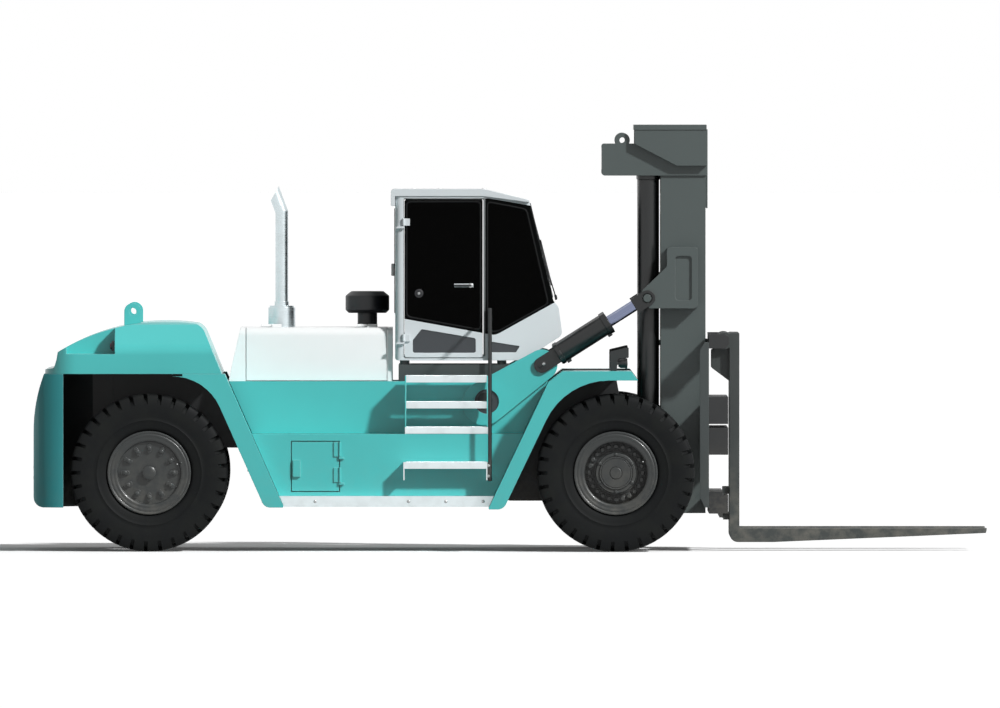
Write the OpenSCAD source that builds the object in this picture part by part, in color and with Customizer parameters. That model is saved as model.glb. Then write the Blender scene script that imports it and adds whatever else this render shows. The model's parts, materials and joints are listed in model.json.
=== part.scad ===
// Heavy forklift truck with twin drive wheels, a two-stage mast and a hollow cab.
// Millimetres. X runs forward to the forks, Y to the left, Z up from the floor.
// Lengths along X are measured from the drive axle; placed() moves them to the shared origin.

/* [Overall] */
// Distance between the drive axle and the steer axle
wheelbase = 4500; // [4400:10:4800]
// Steer axle to the rearmost point of the counterweight
rear_overhang = 1120; // [1100:5:1250]
// Width over the drive tyres
overall_w = 3400; // [3380:10:3600]
// Height of the lowest edge of the bodywork
body_bottom_z = 425; // [380:5:470]

/* [Wheels] */
// Tyre diameter over the lugs
tyre_d = 1520; // [1490:5:1530]
// Tyre section width
tyre_w = 430; // [400:5:436]
// Rim flange diameter
rim_d = 800; // [770:5:820]
// Bead seat diameter of the rim
bead_d = 636; // [620:2:660]
// Width between the rim flanges
rim_seat_w = 340; // [320:5:350]
// Thickness of a rim flange
rim_flange_t = 20; // [14:1:26]
// Wall of the rim barrel
rim_wall = 18; // [12:1:24]
// Number of lugs on each shoulder of a tyre
tyre_lugs = 33; // [24:1:40]
// Width of the notch between two lugs
tyre_notch_w = 34; // [26:1:40]
// Depth of a notch below the tread
tyre_notch_depth = 92; // [70:1:105]
// Gap between the two tyres of a drive pair
dual_gap = 70; // [60:5:80]
// Width over the steer tyres
steer_w = 2900; // [2880:10:3000]
// Radius of the planetary cover on a drive wheel
planet_r = 198; // [180:2:210]
// Number of nuts on a drive wheel
drive_nuts = 24; // [16:2:30]
// Radius of the nut ring on a drive wheel
drive_nut_ring_r = 256; // [245:1:265]
// Number of bosses on a steer wheel
steer_bosses = 12; // [8:1:16]
// Radius of the boss ring on a steer wheel
steer_boss_ring_r = 235; // [220:1:245]

/* [Axles and steering] */
// Radius of the drive axle tube
axle_tube_r = 150; // [130:5:165]
// Radius of the differential housing
diff_r = 300; // [260:5:330]
// Radius of the drive spindle inside the hub
drive_spindle_r = 110; // [90:5:125]
// Kingpin to the steer wheel's mid plane
kingpin_offset = 180; // [170:5:190]
// Kingpin radius
kingpin_r = 45; // [38:1:52]
// Radius of the kingpin lugs
kingpin_lug_r = 95; // [85:1:100]
// Height of the knuckle between the kingpin lugs
knuckle_h = 250; // [220:5:270]
// Thickness of a kingpin lug
kingpin_lug_t = 60; // [50:2:70]
// Radius of the steer spindle
steer_spindle_r = 70; // [60:2:80]
// Half width of the steer axle beam at its middle
beam_half_x = 150; // [120:5:160]
// Half height of the steer axle beam at its middle
beam_half_z = 180; // [160:5:190]
// Radius of the pin that carries the steer axle
axle_pin_r = 60; // [50:2:70]

/* [Counterweight] */
// Half width of the counterweight and the rear fenders
rear_half_w = 1450; // [1440:5:1500]
// Height of the seam under the cap
arch_z = 1713; // [1700:1:1730]
// Radius of the cap's crown seen from the side
crown_r = 1980; // [1900:10:2100]
// Height of the crown's top
crown_z = 2215; // [2190:5:2240]
// Crown top ahead of the steer axle
crown_dx = 150; // [100:5:200]
// Radius of the rear corners seen from above
rear_corner_r = 350; // [300:10:400]
// Radius of the steer wheel pockets
pocket_r = 915; // [905:1:925]
// Half width of the counterweight's core between the pockets
core_half_w = 330; // [300:5:340]
// Front face of the core behind the steer axle
core_dx = 360; // [340:5:400]
// Half width of the radiator air duct
duct_half_w = 270; // [220:5:290]
// Lower edge of the radiator air duct
duct_z0 = 930; // [850:5:1000]
// Upper edge of the radiator air duct
duct_z1 = 1600; // [1500:5:1640]
// Number of grille slats
grille_slats = 9; // [6:1:12]
// Lifting lug half spacing
lug_y = 800; // [700:5:900]
// Lifting lug hole radius
lug_hole_r = 35; // [28:1:40]
// Lifting lug outer radius
lug_r = 82; // [74:1:90]
// Lifting lug thickness
lug_t = 50; // [40:2:60]

/* [Bodywork] */
// Half width of the lower side boxes
box_half_w = 1300; // [1280:5:1340]
// Top of the lower side boxes
box_z1 = 1133; // [1110:1:1150]
// Bottom of the lower side boxes
box_z0 = 535; // [520:1:560]
// Half width of the upper side panels
panel_half_w = 820; // [810:1:826]
// Height of the deck on the upper side panels
deck_z = 1637; // [1620:1:1650]
// Half width of the inner faces of boxes and panels
frame_half_w = 620; // [600:5:640]
// Front fender outer half width
fender_half_w = 1690; // [1680:2:1700]
// Front fender inner half width beside the tilt arms
fender_inner_w = 905; // [900:1:920]
// Height of the front fender's top
fender_z = 1742; // [1730:1:1760]
// Gap between neighbouring fixed panels
panel_gap = 3; // [2:0.5:5]

/* [Engine hood] */
// Top of the hood
hood_z = 2157; // [2140:1:2180]
// Half width of the hood at the deck
hood_half_w = 640; // [630:1:700]
// Half width of the fixed spine between the lids
spine_half_w = 380; // [340:5:400]
// Sheet thickness of the hood
hood_t = 30; // [20:1:40]
// Exhaust pipe radius
exhaust_r = 62; // [55:1:70]
// Air intake cap radius
intake_r = 212; // [190:1:225]

/* [Cab] */
// Half width of the cab
cab_half_w = 740; // [700:5:744]
// Underside of the cab
cab_z0 = 1838; // [1832:1:1850]
// Wall thickness of the cab
cab_wall = 46; // [40:1:55]
// Thickness of the glass
glass_t = 10; // [8:1:14]
// Depth of the glass below the outer face
glass_inset = 3; // [2:0.5:6]
// Gap around a cab door
door_gap = 8; // [6:0.5:10]

/* [Steps] */
// Thickness of a tread
tread_t = 64; // [50:1:70]
// Depth of a tread
tread_depth = 240; // [220:5:260]
// Radius of the handrail tube
rail_r = 19; // [15:1:24]

/* [Mast] */
// Half width of the outer mast
mast_half_w = 690; // [680:1:700]
// Rear face of the outer columns
mast_x0 = 436; // [430:1:440]
// Front face of the outer columns
mast_x1 = 870; // [866:1:874]
// Foot of the outer columns
mast_z0 = 361; // [340:1:380]
// Top of the outer columns
mast_z1 = 3700; // [3600:5:3720]
// Flange thickness of the mast profiles
flange_t = 40; // [36:1:42]
// Web thickness of the mast profiles
web_t = 30; // [26:1:32]
// Depth of the outer column across the truck
column_w = 150; // [140:1:155]
// Running clearance between the mast stages
stage_gap = 12; // [10:0.5:15]
// Mast pivot ahead of the drive axle
pivot_x = 300; // [290:1:305]
// Height of the mast pivot
pivot_z = 640; // [620:1:660]
// Radius of the mast pivot pin
pivot_r = 60; // [50:1:66]
// Lift cylinder barrel radius
lift_barrel_r = 104; // [96:1:106]
// Lift cylinder rod radius
lift_rod_r = 70; // [60:1:76]
// Lift cylinder half spacing
lift_y = 560; // [550:1:566]
// Lift cylinder ahead of the drive axle
lift_x = 318; // [314:1:320]
// Radius of the chain pulleys
pulley_r = 150; // [140:1:156]
// Half spacing of the lift chains
chain_y = 300; // [260:5:330]

/* [Carriage and forks] */
// Half width of the carriage
carriage_half_w = 1190; // [1150:5:1250]
// Rear face of the carriage beams
carriage_x0 = 900; // [898:0.5:905]
// Fork length
fork_l = 2395; // [2200:5:2450]
// Fork width
fork_w = 300; // [240:5:320]
// Front face of the fork shank
fork_face_x = 1197; // [1190:1:1205]
// Thickness of the fork shank
fork_t = 95; // [85:1:98]
// Top of the fork blade
fork_top_z = 217; // [200:1:230]
// Underside of the fork heel
fork_bottom_z = 82; // [70:1:90]
// Half spacing of the forks
fork_y = 600; // [560:5:640]
// Fork shaft radius
fork_shaft_r = 45; // [40:1:48]

/* [Tilt cylinders] */
// Half spacing of the tilt cylinders
tilt_y = 860; // [856:1:864]
// Thickness of the tilt arms
arm_t = 60; // [50:1:64]
// Rear eye ahead of the drive axle
tilt_rear_x = -712; // [-720:1:-700]
// Height of the rear eye
tilt_rear_z = 1795; // [1785:1:1805]
// Front eye ahead of the drive axle
tilt_front_x = 306; // [300:1:312]
// Height of the front eye
tilt_front_z = 2441; // [2430:1:2450]
// Tilt cylinder barrel radius
tilt_barrel_r = 98; // [85:1:100]
// Tilt cylinder rod radius
tilt_rod_r = 48; // [40:1:54]
// Tilt cylinder pin radius
tilt_pin_r = 38; // [32:1:42]
// Play of the open rod eye
tilt_eye_play = 12; // [11:0.5:14]

/* [Fits] */
// Radial clearance of turning pins and shafts
pin_gap = 0.4; // [0.3:0.1:0.8]
// Clearance between moving pieces
move_gap = 6; // [5:0.5:8]

/* [Hidden] */
$fn = 64;

// Positions that follow from the sizes above
steer_x = -wheelbase;
axle_z = tyre_d / 2;
rear_x = steer_x - rear_overhang;
fork_tip_x = fork_face_x + fork_l;
shift_x = -(rear_x + fork_tip_x) / 2;
drive_outer_y = overall_w / 2 - tyre_w / 2;
drive_inner_y = drive_outer_y - tyre_w - dual_gap;
steer_y = steer_w / 2 - tyre_w / 2;
kingpin_y = steer_y - kingpin_offset;
cab_rear_x = -2131;
cw_front_x = steer_x + 700;
hood_front_x = cab_rear_x - 25;
hood_len = hood_front_x - cw_front_x;
tilt_angle = atan2(tilt_front_z - tilt_rear_z, tilt_front_x - tilt_rear_x);
tilt_len = norm([tilt_front_x - tilt_rear_x, tilt_front_z - tilt_rear_z]);
wide = 2 * overall_w;

// Outline helpers
function xy(p) = [p[0], p[1]];
function unit(v) = v / norm(v);
function corner(p, c, q, r, n) = r == 0 ? [c] :
    let(a = unit(p - c), b = unit(q - c), half = acos(a * b) / 2)
    let(centre = c + unit(a + b) * r / sin(half))
    let(s = c + a * r / tan(half) - centre, e = c + b * r / tan(half) - centre)
    let(turn = (cross(s, e) > 0 ? 1 : -1) * acos(s * e / (r * r)))
    [for (i = [0:n]) centre + [s[0] * cos(turn * i / n) - s[1] * sin(turn * i / n),
                               s[0] * sin(turn * i / n) + s[1] * cos(turn * i / n)]];
// A closed outline whose points are [x, y, corner radius]
function rounded(pts, n = 8) = [for (i = [0:len(pts) - 1])
    let(before = pts[(i + len(pts) - 1) % len(pts)], after = pts[(i + 1) % len(pts)])
    each corner(xy(before), xy(pts[i]), xy(after), pts[i][2], n)];
function normal(p, q) = let(d = unit(q - p)) [-d[1], d[0]];
// The same outline, counter-clockwise, moved inwards
function inset(pts, d) = [for (i = [0:len(pts) - 1])
    let(p = xy(pts[(i + len(pts) - 1) % len(pts)]), c = xy(pts[i]), q = xy(pts[(i + 1) % len(pts)]))
    let(a = normal(p, c), b = normal(c, q), m = c + d * (a + b) / (1 + a * b))
    [m[0], m[1], pts[i][2]]];

// Edges that neighbouring panels share
function rear_leg_front(z) = steer_x + 728 + 0.4435 * (arch_z - z);
function front_leg_rear(z) = -650 - 0.4755 * (1636 - z);

// Extrudes an outline drawn in X and Z between two Y values
module side(y0, y1) {
    translate([0, y1, 0]) rotate([90, 0, 0]) linear_extrude(y1 - y0) children();
}
// Extrudes an outline drawn in Y and Z between two X values
module section(x0, x1) {
    translate([x0, 0, 0]) rotate([90, 0, 90]) linear_extrude(x1 - x0) children();
}
// Extrudes an outline drawn in X and Y between two Z values
module plan(z0, z1) {
    translate([0, 0, z0]) linear_extrude(z1 - z0) children();
}
module box(x0, x1, y0, y1, z0, z1) {
    translate([x0, y0, z0]) cube([x1 - x0, y1 - y0, z1 - z0]);
}
// A round bar along Y
module bar_y(x, z, y0, y1, r) {
    translate([x, y0, z]) rotate([-90, 0, 0]) cylinder(h = y1 - y0, r = r);
}
module both() {
    children();
    mirror([0, 1, 0]) children();
}
module right() {
    mirror([0, 1, 0]) children();
}
module placed() {
    translate([shift_x, 0, 0]) children();
}

// Chassis: two side plates joined by cross plates, and the rear frame that carries the steer axle
plate_in = frame_half_w - 80;
cross_t = 40;
plate_mid_x = -1300;
plate_rear_x = steer_x + 860;
fender_under_z = fender_z - 90;
rail_z = 990;
rail_in = core_half_w - 80;
module side_plate() {
    side(plate_in, frame_half_w) difference() {
        polygon(rounded([
            [plate_mid_x, 560, 0], [plate_mid_x + 280, 480, 0], [pivot_x + 40, 480, 0],
            [pivot_x + 110, 540, 0],
            [pivot_x + 110, 740, 60], [pivot_x - 150, 770, 0], [pivot_x - 170, 1000, 0],
            [10, fender_under_z, 0],
            [-420, fender_under_z, 0], [-420, deck_z, 0], [plate_mid_x, deck_z, 0], [plate_mid_x, 1130, 0],
            [plate_rear_x, 1130, 0], [plate_rear_x, 960, 0], [plate_rear_x + 240, 560, 0]
        ]));
        translate([0, axle_z]) circle(r = axle_tube_r + pin_gap);
        translate([pivot_x, pivot_z]) circle(r = pivot_r + pin_gap);
    }
}
module chassis_frame() {
    color("#1d1f20") {
        both() side_plate();
        box(plate_rear_x, plate_rear_x + cross_t, -frame_half_w, frame_half_w, rail_z, deck_z);
        box(plate_mid_x, plate_mid_x + cross_t, -plate_in, plate_in, 560, deck_z);
        box(-420, cross_t - 420, -plate_in, plate_in, 1100, fender_under_z);
        box(-60, cross_t - 60, -plate_in, plate_in, 1150, fender_under_z);
    }
}
module rear_frame() {
    color("#1d1f20") {
        both() side(rail_in, core_half_w) polygon([
            [steer_x - core_dx, rail_z], [plate_rear_x, rail_z], [plate_rear_x, deck_z], [cw_front_x, deck_z],
            [cw_front_x, arch_z], [steer_x - core_dx, arch_z]
        ]);
        box(steer_x - core_dx, steer_x - core_dx + cross_t, -rail_in, rail_in, rail_z, arch_z);
        for (x = [-hanger_x - cross_t / 2, hanger_x - cross_t / 2])
            box(steer_x + x, steer_x + x + cross_t, -rail_in, rail_in, 620, 1200);
        translate([steer_x - 240, 0, axle_z]) rotate([0, 90, 0]) cylinder(h = 480, r = axle_pin_r);
    }
}
// Plates that hold the steer axle's pin, either side of the beam
hanger_x = 205;

module rear_plan(inset_x, corner_r) {
    polygon(rounded([
        [rear_x + inset_x, -rear_half_w, corner_r], [steer_x + 2000, -rear_half_w, 0],
        [steer_x + 2000, rear_half_w, 0], [rear_x + inset_x, rear_half_w, corner_r]
    ]));
}
module counterweight_block() {
    color("#4fc4c4") difference() {
        intersection() {
            side(-wide, wide) polygon(rounded([
                [rear_x, body_bottom_z, 100], [steer_x - core_dx, body_bottom_z, 60],
                [steer_x - core_dx, arch_z, 0],
                [rear_x + 104, arch_z, 0], [rear_x, 1441, 1580]
            ]));
            plan(0, arch_z) rear_plan(0, rear_corner_r);
        }
        both() intersection() {
            translate([steer_x, kingpin_y, 0]) cylinder(h = arch_z + 1, r = pocket_r, $fn = 96);
            box(steer_x - wheelbase, steer_x + wheelbase, core_half_w, wide, 0, arch_z + 1);
        }
        box(rear_x - 1, steer_x, -duct_half_w, duct_half_w, duct_z0, duct_z1);
    }
}
module counterweight_cap() {
    color("#4fc4c4") difference() {
        intersection() {
            side(-wide, wide) intersection() {
                translate([steer_x + crown_dx, crown_z - crown_r]) circle(r = crown_r, $fn = 160);
                polygon(rounded([
                    [rear_x + 112, arch_z, 0], [cw_front_x, arch_z, 0], [cw_front_x - 198, 2197, 150],
                    [cw_front_x - 600, 2226, 0], [cw_front_x - 700, 2300, 0], [rear_x + 300, 2300, 0],
                    [rear_x + 225, 1850, 60],
                    [rear_x + 200, 1770, 30], [rear_x + 112, 1757, 12]
                ]));
            }
            plan(0, wide) rear_plan(112, 300);
            section(-2 * wide, 0) polygon(rounded([
                [-rear_half_w, arch_z, 0], [rear_half_w, arch_z, 0], [rear_half_w, 1960, 160],
                [1180, crown_z + 1, 160], [-1180, crown_z + 1, 160], [-rear_half_w, 1960, 160]
            ]));
        }
        both() box(rear_x + 320, rear_x + 788, 1080, wide, 1905, wide);
    }
}
module radiator_grille() {
    color("#1d1f20") {
        difference() {
            box(rear_x + 60, rear_x + 120, -duct_half_w, duct_half_w, duct_z0, duct_z1);
            box(rear_x, rear_x + 200, 30 - duct_half_w, duct_half_w - 30, duct_z0 + 30, duct_z1 - 30);
        }
        for (i = [1:grille_slats])
            translate([rear_x + 90, 0, duct_z0 + i * (duct_z1 - duct_z0) / (grille_slats + 1)])
                rotate([0, 35, 0]) cube([60, 2 * duct_half_w - 50, 8], center = true);
    }
}
module lifting_lugs() {
    lug_x = steer_x - 166;
    color("#4fc4c4") both() side(lug_y - lug_t / 2, lug_y + lug_t / 2) difference() {
        union() {
            translate([lug_x, 2311]) circle(r = lug_r);
            translate([lug_x - lug_r, 2311 - 2 * lug_r]) square([2 * lug_r, 2 * lug_r]);
        }
        translate([lug_x, 2311]) circle(r = lug_hole_r);
        translate([steer_x + crown_dx, crown_z - crown_r]) circle(r = crown_r + 0.3, $fn = 160);
    }
}

// Fenders and side bodywork
module rear_fenders() {
    color("#4fc4c4") both() side(1000, rear_half_w) polygon(rounded([
        [steer_x + 320, arch_z, 0], [steer_x + 320, arch_z - 23, 0], [steer_x + 548, arch_z - 23, 500],
        [steer_x + 1112, body_bottom_z, 80], [rear_leg_front(body_bottom_z), body_bottom_z, 10],
        [rear_leg_front(arch_z), arch_z, 0]
    ]));
}
module front_fenders() {
    color("#4fc4c4") both() {
        side(fender_inner_w, fender_half_w) polygon(rounded([
            [front_leg_rear(410), 410, 10], [-1083, 410, 90], [-490, fender_under_z, 675],
            [214, fender_under_z, 0], [147, fender_z, 20], [-515, fender_z, 40],
            [front_leg_rear(1636), 1636, 30]
        ]));
        box(-400, 0, plate_in, fender_inner_w + 20, fender_under_z, fender_z);
    }
}
module side_profile(z0, z1) {
    polygon([
        [rear_leg_front(z0) + panel_gap, z0], [front_leg_rear(z0) - panel_gap, z0],
        [front_leg_rear(z1) - panel_gap, z1], [rear_leg_front(z1) + panel_gap, z1]
    ]);
}
// Service compartment behind the door in the right-hand box
service_x0 = cw_front_x + 666;
service_x1 = service_x0 + 0.28771 * hood_len;
service_z0 = 574;
service_z1 = 1066;
service_depth = 320;
service_hinge_y = -box_half_w - 16;
service_hinge_z = [service_z0 + 94, service_z1 - 151];
knuckle_len = 140;
module side_boxes() {
    color("#4fc4c4") {
        side(frame_half_w, box_half_w) side_profile(box_z0, box_z1);
        difference() {
            right() side(frame_half_w, box_half_w) side_profile(box_z0, box_z1);
            box(service_x0, service_x1, -box_half_w - 1, service_depth - box_half_w, service_z0, service_z1);
        }
        for (z = service_hinge_z) {
            translate([service_x1, service_hinge_y, z - 20]) cylinder(h = knuckle_len + 26, r = 6);
            box(service_x1 - 9, service_x1 + 40, service_hinge_y - 8, service_hinge_y + 8, z - 26, z - 6);
            box(service_x1 + 6, service_x1 + 40, service_hinge_y + 7, 2 - box_half_w, z - 26, z - 6);
        }
    }
}
module side_panels() {
    color("#4fc4c4") both() side(frame_half_w, panel_half_w) side_profile(box_z1, deck_z);
}
module service_door() {
    color("#4fc4c4") {
        box(service_x0 + door_gap, service_x1 - door_gap, -box_half_w, 25 - box_half_w,
            service_z0 + door_gap, service_z1 - door_gap);
        for (z = service_hinge_z) difference() {
            union() {
                box(service_x1 - 60, service_x1 - door_gap, -box_half_w - 12, -box_half_w, z, z + knuckle_len);
                translate([service_x1, service_hinge_y, z]) cylinder(h = knuckle_len, r = 12);
            }
            translate([service_x1, service_hinge_y, z - 1]) cylinder(h = knuckle_len + 2, r = 6 + pin_gap);
        }
        box(service_x0 + 20, service_x0 + 90, -box_half_w - 30, -box_half_w, 720, 880);
    }
}

// Boarding steps: three treads on stringers, a hung lowest step and the running boards
step_x0 = -2034;
step_x1 = -1233;
low_x0 = step_x0 - 15;
low_x1 = step_x1 - 5;
rail_x = low_x1 + 24;
module tread(y1, z1) {
    difference() {
        box(step_x0, step_x1, y1 - tread_depth, y1, z1 - tread_t, z1);
        box(step_x0 + 10, step_x1 - 10, y1 - tread_depth + 10, y1 - 10, z1 - tread_t - 1, z1 - 8);
    }
}
module steps() {
    color("#dfe6e6") both() {
        tread(1150, 1693);
        tread(1220, 1443);
        tread(box_half_w, 1200);
        for (x = [step_x0, step_x1 - 12]) section(x, x + 12) polygon([
            [1060, box_z1], [box_half_w, box_z1], [box_half_w, 1200], [1220, 1443], [1150, 1693],
            [910, 1693], [910, 1629], [980, 1430]
        ]);
        difference() {
            box(low_x0, low_x1, box_half_w, box_half_w + 200, 864 - tread_t, 864);
            box(low_x0 + 10, low_x1 - 10, box_half_w - 1, box_half_w + 190, 700, 856);
        }
        for (x = [low_x0, low_x1 - 12]) box(x, x + 12, box_half_w, box_half_w + 200, 690, 864 - tread_t);
        side(1150, box_half_w + 90) polygon([
            [rear_leg_front(box_z0) + panel_gap, box_z0], [rear_leg_front(431) + panel_gap, 431],
            [front_leg_rear(431) - panel_gap, 431], [front_leg_rear(box_z0) - panel_gap, box_z0]
        ]);
    }
}
module handrails() {
    color("#2a2d2f") both() {
        translate([rail_x, box_half_w + 170, 680]) cylinder(h = 1665, r = rail_r);
        box(low_x1, rail_x, box_half_w + 140, box_half_w + 200, 700, 860);
        bar_y(rail_x, 2310, panel_half_w - 38, box_half_w + 170, rail_r - 4);
        translate([rail_x, panel_half_w - 38, deck_z]) cylinder(h = 2345 - deck_z, r = rail_r);
        box(rail_x - 40, rail_x + 40, panel_half_w - 70, panel_half_w - 2, deck_z, deck_z + 14);
    }
}

// Engine hood with a fixed spine and two lids
hood_wall = 50;
hood_back_x = cw_front_x + 174;
lid_x0 = hood_back_x + hood_wall;
lid_x1 = hood_front_x - hood_wall;
module hood_section(t) {
    polygon(rounded([
        [t - hood_half_w, deck_z - (t > 0 ? 1 : 0), 0], [hood_half_w - t, deck_z - (t > 0 ? 1 : 0), 0],
        [hood_half_w - 40 - t, hood_z - t, 90], [t + 40 - hood_half_w, hood_z - t, 90]
    ]));
}
module hood_side() {
    polygon([
        [cw_front_x + 58, deck_z], [hood_front_x, deck_z], [hood_front_x, hood_z], [hood_back_x, hood_z]
    ]);
}
module hood_tunnel() {
    difference() {
        section(-2 * wide, 0) hood_section(0);
        section(-2 * wide - 1, 1) hood_section(hood_t);
    }
}
module hood_spine() {
    color("#f4f6f6") {
        intersection() {
            hood_tunnel();
            side(-spine_half_w, spine_half_w) hood_side();
        }
        intersection() {
            section(-2 * wide, 0) hood_section(0);
            side(-wide, wide) difference() {
                hood_side();
                translate([lid_x0, deck_z - 1]) square([lid_x1 - lid_x0, hood_z - deck_z + 2]);
            }
        }
        both() for (x = lid_hinge_x) difference() {
            union() {
                translate([x - 50, lid_hinge_y, lid_hinge_z]) rotate([0, 90, 0]) cylinder(h = 100, r = 14);
                box(x - 50, x + 50, spine_half_w - 60, lid_hinge_y, hood_z - 4, hood_z + 12);
            }
            translate([x - 60, lid_hinge_y, lid_hinge_z]) rotate([0, 90, 0])
                cylinder(h = 120, r = 8 + pin_gap);
        }
    }
}
module hood_lid() {
    color("#f4f6f6") intersection() {
        hood_tunnel();
        box(lid_x0 + move_gap, lid_x1 - move_gap, spine_half_w + move_gap, wide, deck_z + move_gap, wide);
    }
    color("#f4f6f6") for (x = lid_hinge_x) {
        translate([x - 50, lid_hinge_y, lid_hinge_z]) rotate([0, 90, 0]) cylinder(h = 200, r = 8);
        translate([x + 56, lid_hinge_y, lid_hinge_z]) rotate([0, 90, 0]) cylinder(h = 94, r = 14);
        box(x + 56, x + 150, lid_hinge_y, spine_half_w + 60, hood_z - 4, hood_z + 12);
    }
}
// Hinge axis of a lid, above the split between spine and lid
lid_hinge_y = spine_half_w + 3;
lid_hinge_z = hood_z + 16;
lid_hinge_x = [cw_front_x + 420, hood_front_x - 300];
module hood_lid_left() hood_lid();
module hood_lid_right() right() hood_lid();
module engine_block() {
    x0 = cw_front_x + 240;
    x1 = hood_front_x - 174;
    // Rows: front and rear inset, half width, bottom, top
    color("#6b6f70") {
        for (row = [[0, 420, 760, 1250], [45, 280, 1250, 1820], [75, 330, 1820, 1930]])
            box(x0 + row[0], x1 - row[0], -row[1], row[1], row[2], row[3]);
        both() for (x = [x0 + 140, x1 - 190]) box(x, x + 120, 420, plate_in, 900, 1000);
    }
}
module exhaust_stack() {
    stack_x = cw_front_x + 0.3461 * hood_len;
    shield_r = 0.0797 * hood_len;
    shield_h = 205;
    bend_h = 1113;
    bend = 21;
    tip_h = 192;
    tip_cut = 40;
    bore_r = exhaust_r - 6;
    color("#d6dcdd") translate([stack_x, 0, hood_z]) difference() {
        union() {
            cylinder(h = shield_h - 17, r = shield_r);
            cylinder(h = shield_h, r = shield_r - 12);
            cylinder(h = shield_h + 40, r = exhaust_r + 8);
            cylinder(h = bend_h, r = exhaust_r);
            translate([0, 0, bend_h]) sphere(r = exhaust_r);
            translate([0, 0, bend_h]) rotate([0, -bend, 0]) cylinder(h = 2 * tip_h, r = exhaust_r);
        }
        translate([0, 0, shield_h + 95]) cylinder(h = bend_h - shield_h - 95, r = bore_r);
        translate([0, 0, bend_h]) sphere(r = bore_r);
        translate([0, 0, bend_h]) rotate([0, -bend, 0]) {
            cylinder(h = 2 * tip_h + 1, r = bore_r);
            translate([0, 0, tip_h]) rotate([0, -tip_cut, 0])
                translate([-300, -300, 0]) cube([600, 600, 300]);
        }
    }
}
module air_intake() {
    intake_x = hood_front_x - 246;
    color("#2a2d30") translate([intake_x, 0, hood_z]) {
        cylinder(h = 140, r = 95);
        translate([0, 0, 135]) rotate_extrude() polygon(rounded([
            [0, 0, 0], [intake_r - 30, 0, 0], [intake_r, 30, 20], [intake_r, 166, 16], [156, 212, 30],
            [0, 212, 0]
        ]));
    }
}

// Cab
cab_outline = [
    [cab_rear_x, cab_z0, 30], [-895, cab_z0, 60], [-512, 2083, 70], [-550, 2350, 40],
    [-600, 2412, 20], [-832, 3380, 40], [-1272, 3440, 0], [cab_rear_x, 3440, 20]
];
cab_plan = [
    [cab_rear_x, -cab_half_w, 60], [-1262, -cab_half_w, 0], [-480, 90 - cab_half_w, 60],
    [-480, cab_half_w - 90, 60], [-1262, cab_half_w, 0], [cab_rear_x, cab_half_w, 60]
];
door_outline = [
    [-2048, 1858, 20], [-1277, 1858, 20], [-1277, 3400, 20], [-2048, 3400, 20]
];
door_window = [
    [-2020, 2262, 30], [-1305, 2132, 30], [-1305, 3372, 40], [-2020, 3372, 40]
];
side_window = [
    [-1240, 2116, 20], [-1140, 2116, 40], [-650, 2388, 30], [-862, 3300, 40], [-1240, 3372, 40]
];
door_field = [
    [-1960, 1912, 20], [-1352, 1912, 20], [-1352, 2052, 20], [-1876, 2140, 20], [-1960, 2034, 20]
];
front_field = [[-1203, 1916, 8], [-965, 1916, 8], [-924, 1975, 8], [-1203, 2019, 8]];
panel_sink = 8;
door_hinge_x = door_outline[0][0];
door_hinge_y = cab_half_w + 16;
door_hinge_z = [2020, 3140];
module cab_solid(t) {
    intersection() {
        side(-wide, wide) polygon(rounded(inset(cab_outline, t)));
        plan(0, wide) polygon(rounded(inset(cab_plan, t)));
    }
}
module cab_skin(t0, t1) {
    difference() {
        cab_solid(t0);
        cab_solid(t1);
    }
}
module windscreen_hole(grow) {
    section(-1000, -400) polygon(rounded([
        [-590 - grow, 2450 - grow, 50], [590 + grow, 2450 - grow, 50],
        [590 + grow, 3350 + grow, 50], [-590 - grow, 3350 + grow, 50]
    ]));
}
module rear_window_hole(grow) {
    section(cab_rear_x - 100, cab_rear_x + 120) polygon(rounded([
        [-600 - grow, 2300 - grow, 60], [600 + grow, 2300 - grow, 60],
        [600 + grow, 3300 + grow, 60], [-600 - grow, 3300 + grow, 60]
    ]));
}
module cab_shell() {
    color("#eef2f3") {
        difference() {
            cab_skin(0, cab_wall);
            both() side(cab_half_w - cab_wall - 20, wide) polygon(rounded(door_outline));
            both() side(0, wide) polygon(rounded(side_window));
            windscreen_hole(0);
            rear_window_hole(0);
            both() intersection() {
                cab_skin(-1, panel_sink);
                side(0, wide) polygon(rounded(front_field));
            }
        }
        side(-cab_half_w - 12, cab_half_w + 12) polygon(rounded([
            [-2172, 3330, 10], [cab_rear_x, 3330, 0], [cab_rear_x, 3425, 0], [-1272, 3425, 0],
            [-836, 3366, 0],
            [-826, 3384, 15], [-1272, 3494, 400], [-2172, 3494, 30]
        ]));
        both() for (z = door_hinge_z) {
            translate([door_hinge_x, door_hinge_y, z - 20]) cylinder(h = 96, r = 7);
            box(door_hinge_x - 70, door_hinge_x + 9, door_hinge_y - 9, door_hinge_y + 14, z - 26, z - 6);
            box(door_hinge_x - 70, door_hinge_x - 14, cab_half_w - 4, door_hinge_y, z - 26, z - 6);
        }
    }
}
module cab_glass() {
    color("#101214") {
        intersection() {
            cab_skin(glass_inset, glass_inset + glass_t);
            union() {
                both() side(0, wide) polygon(rounded(inset(side_window, 0.5)));
                windscreen_hole(-0.5);
                rear_window_hole(-0.5);
            }
        }
    }
}
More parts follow.
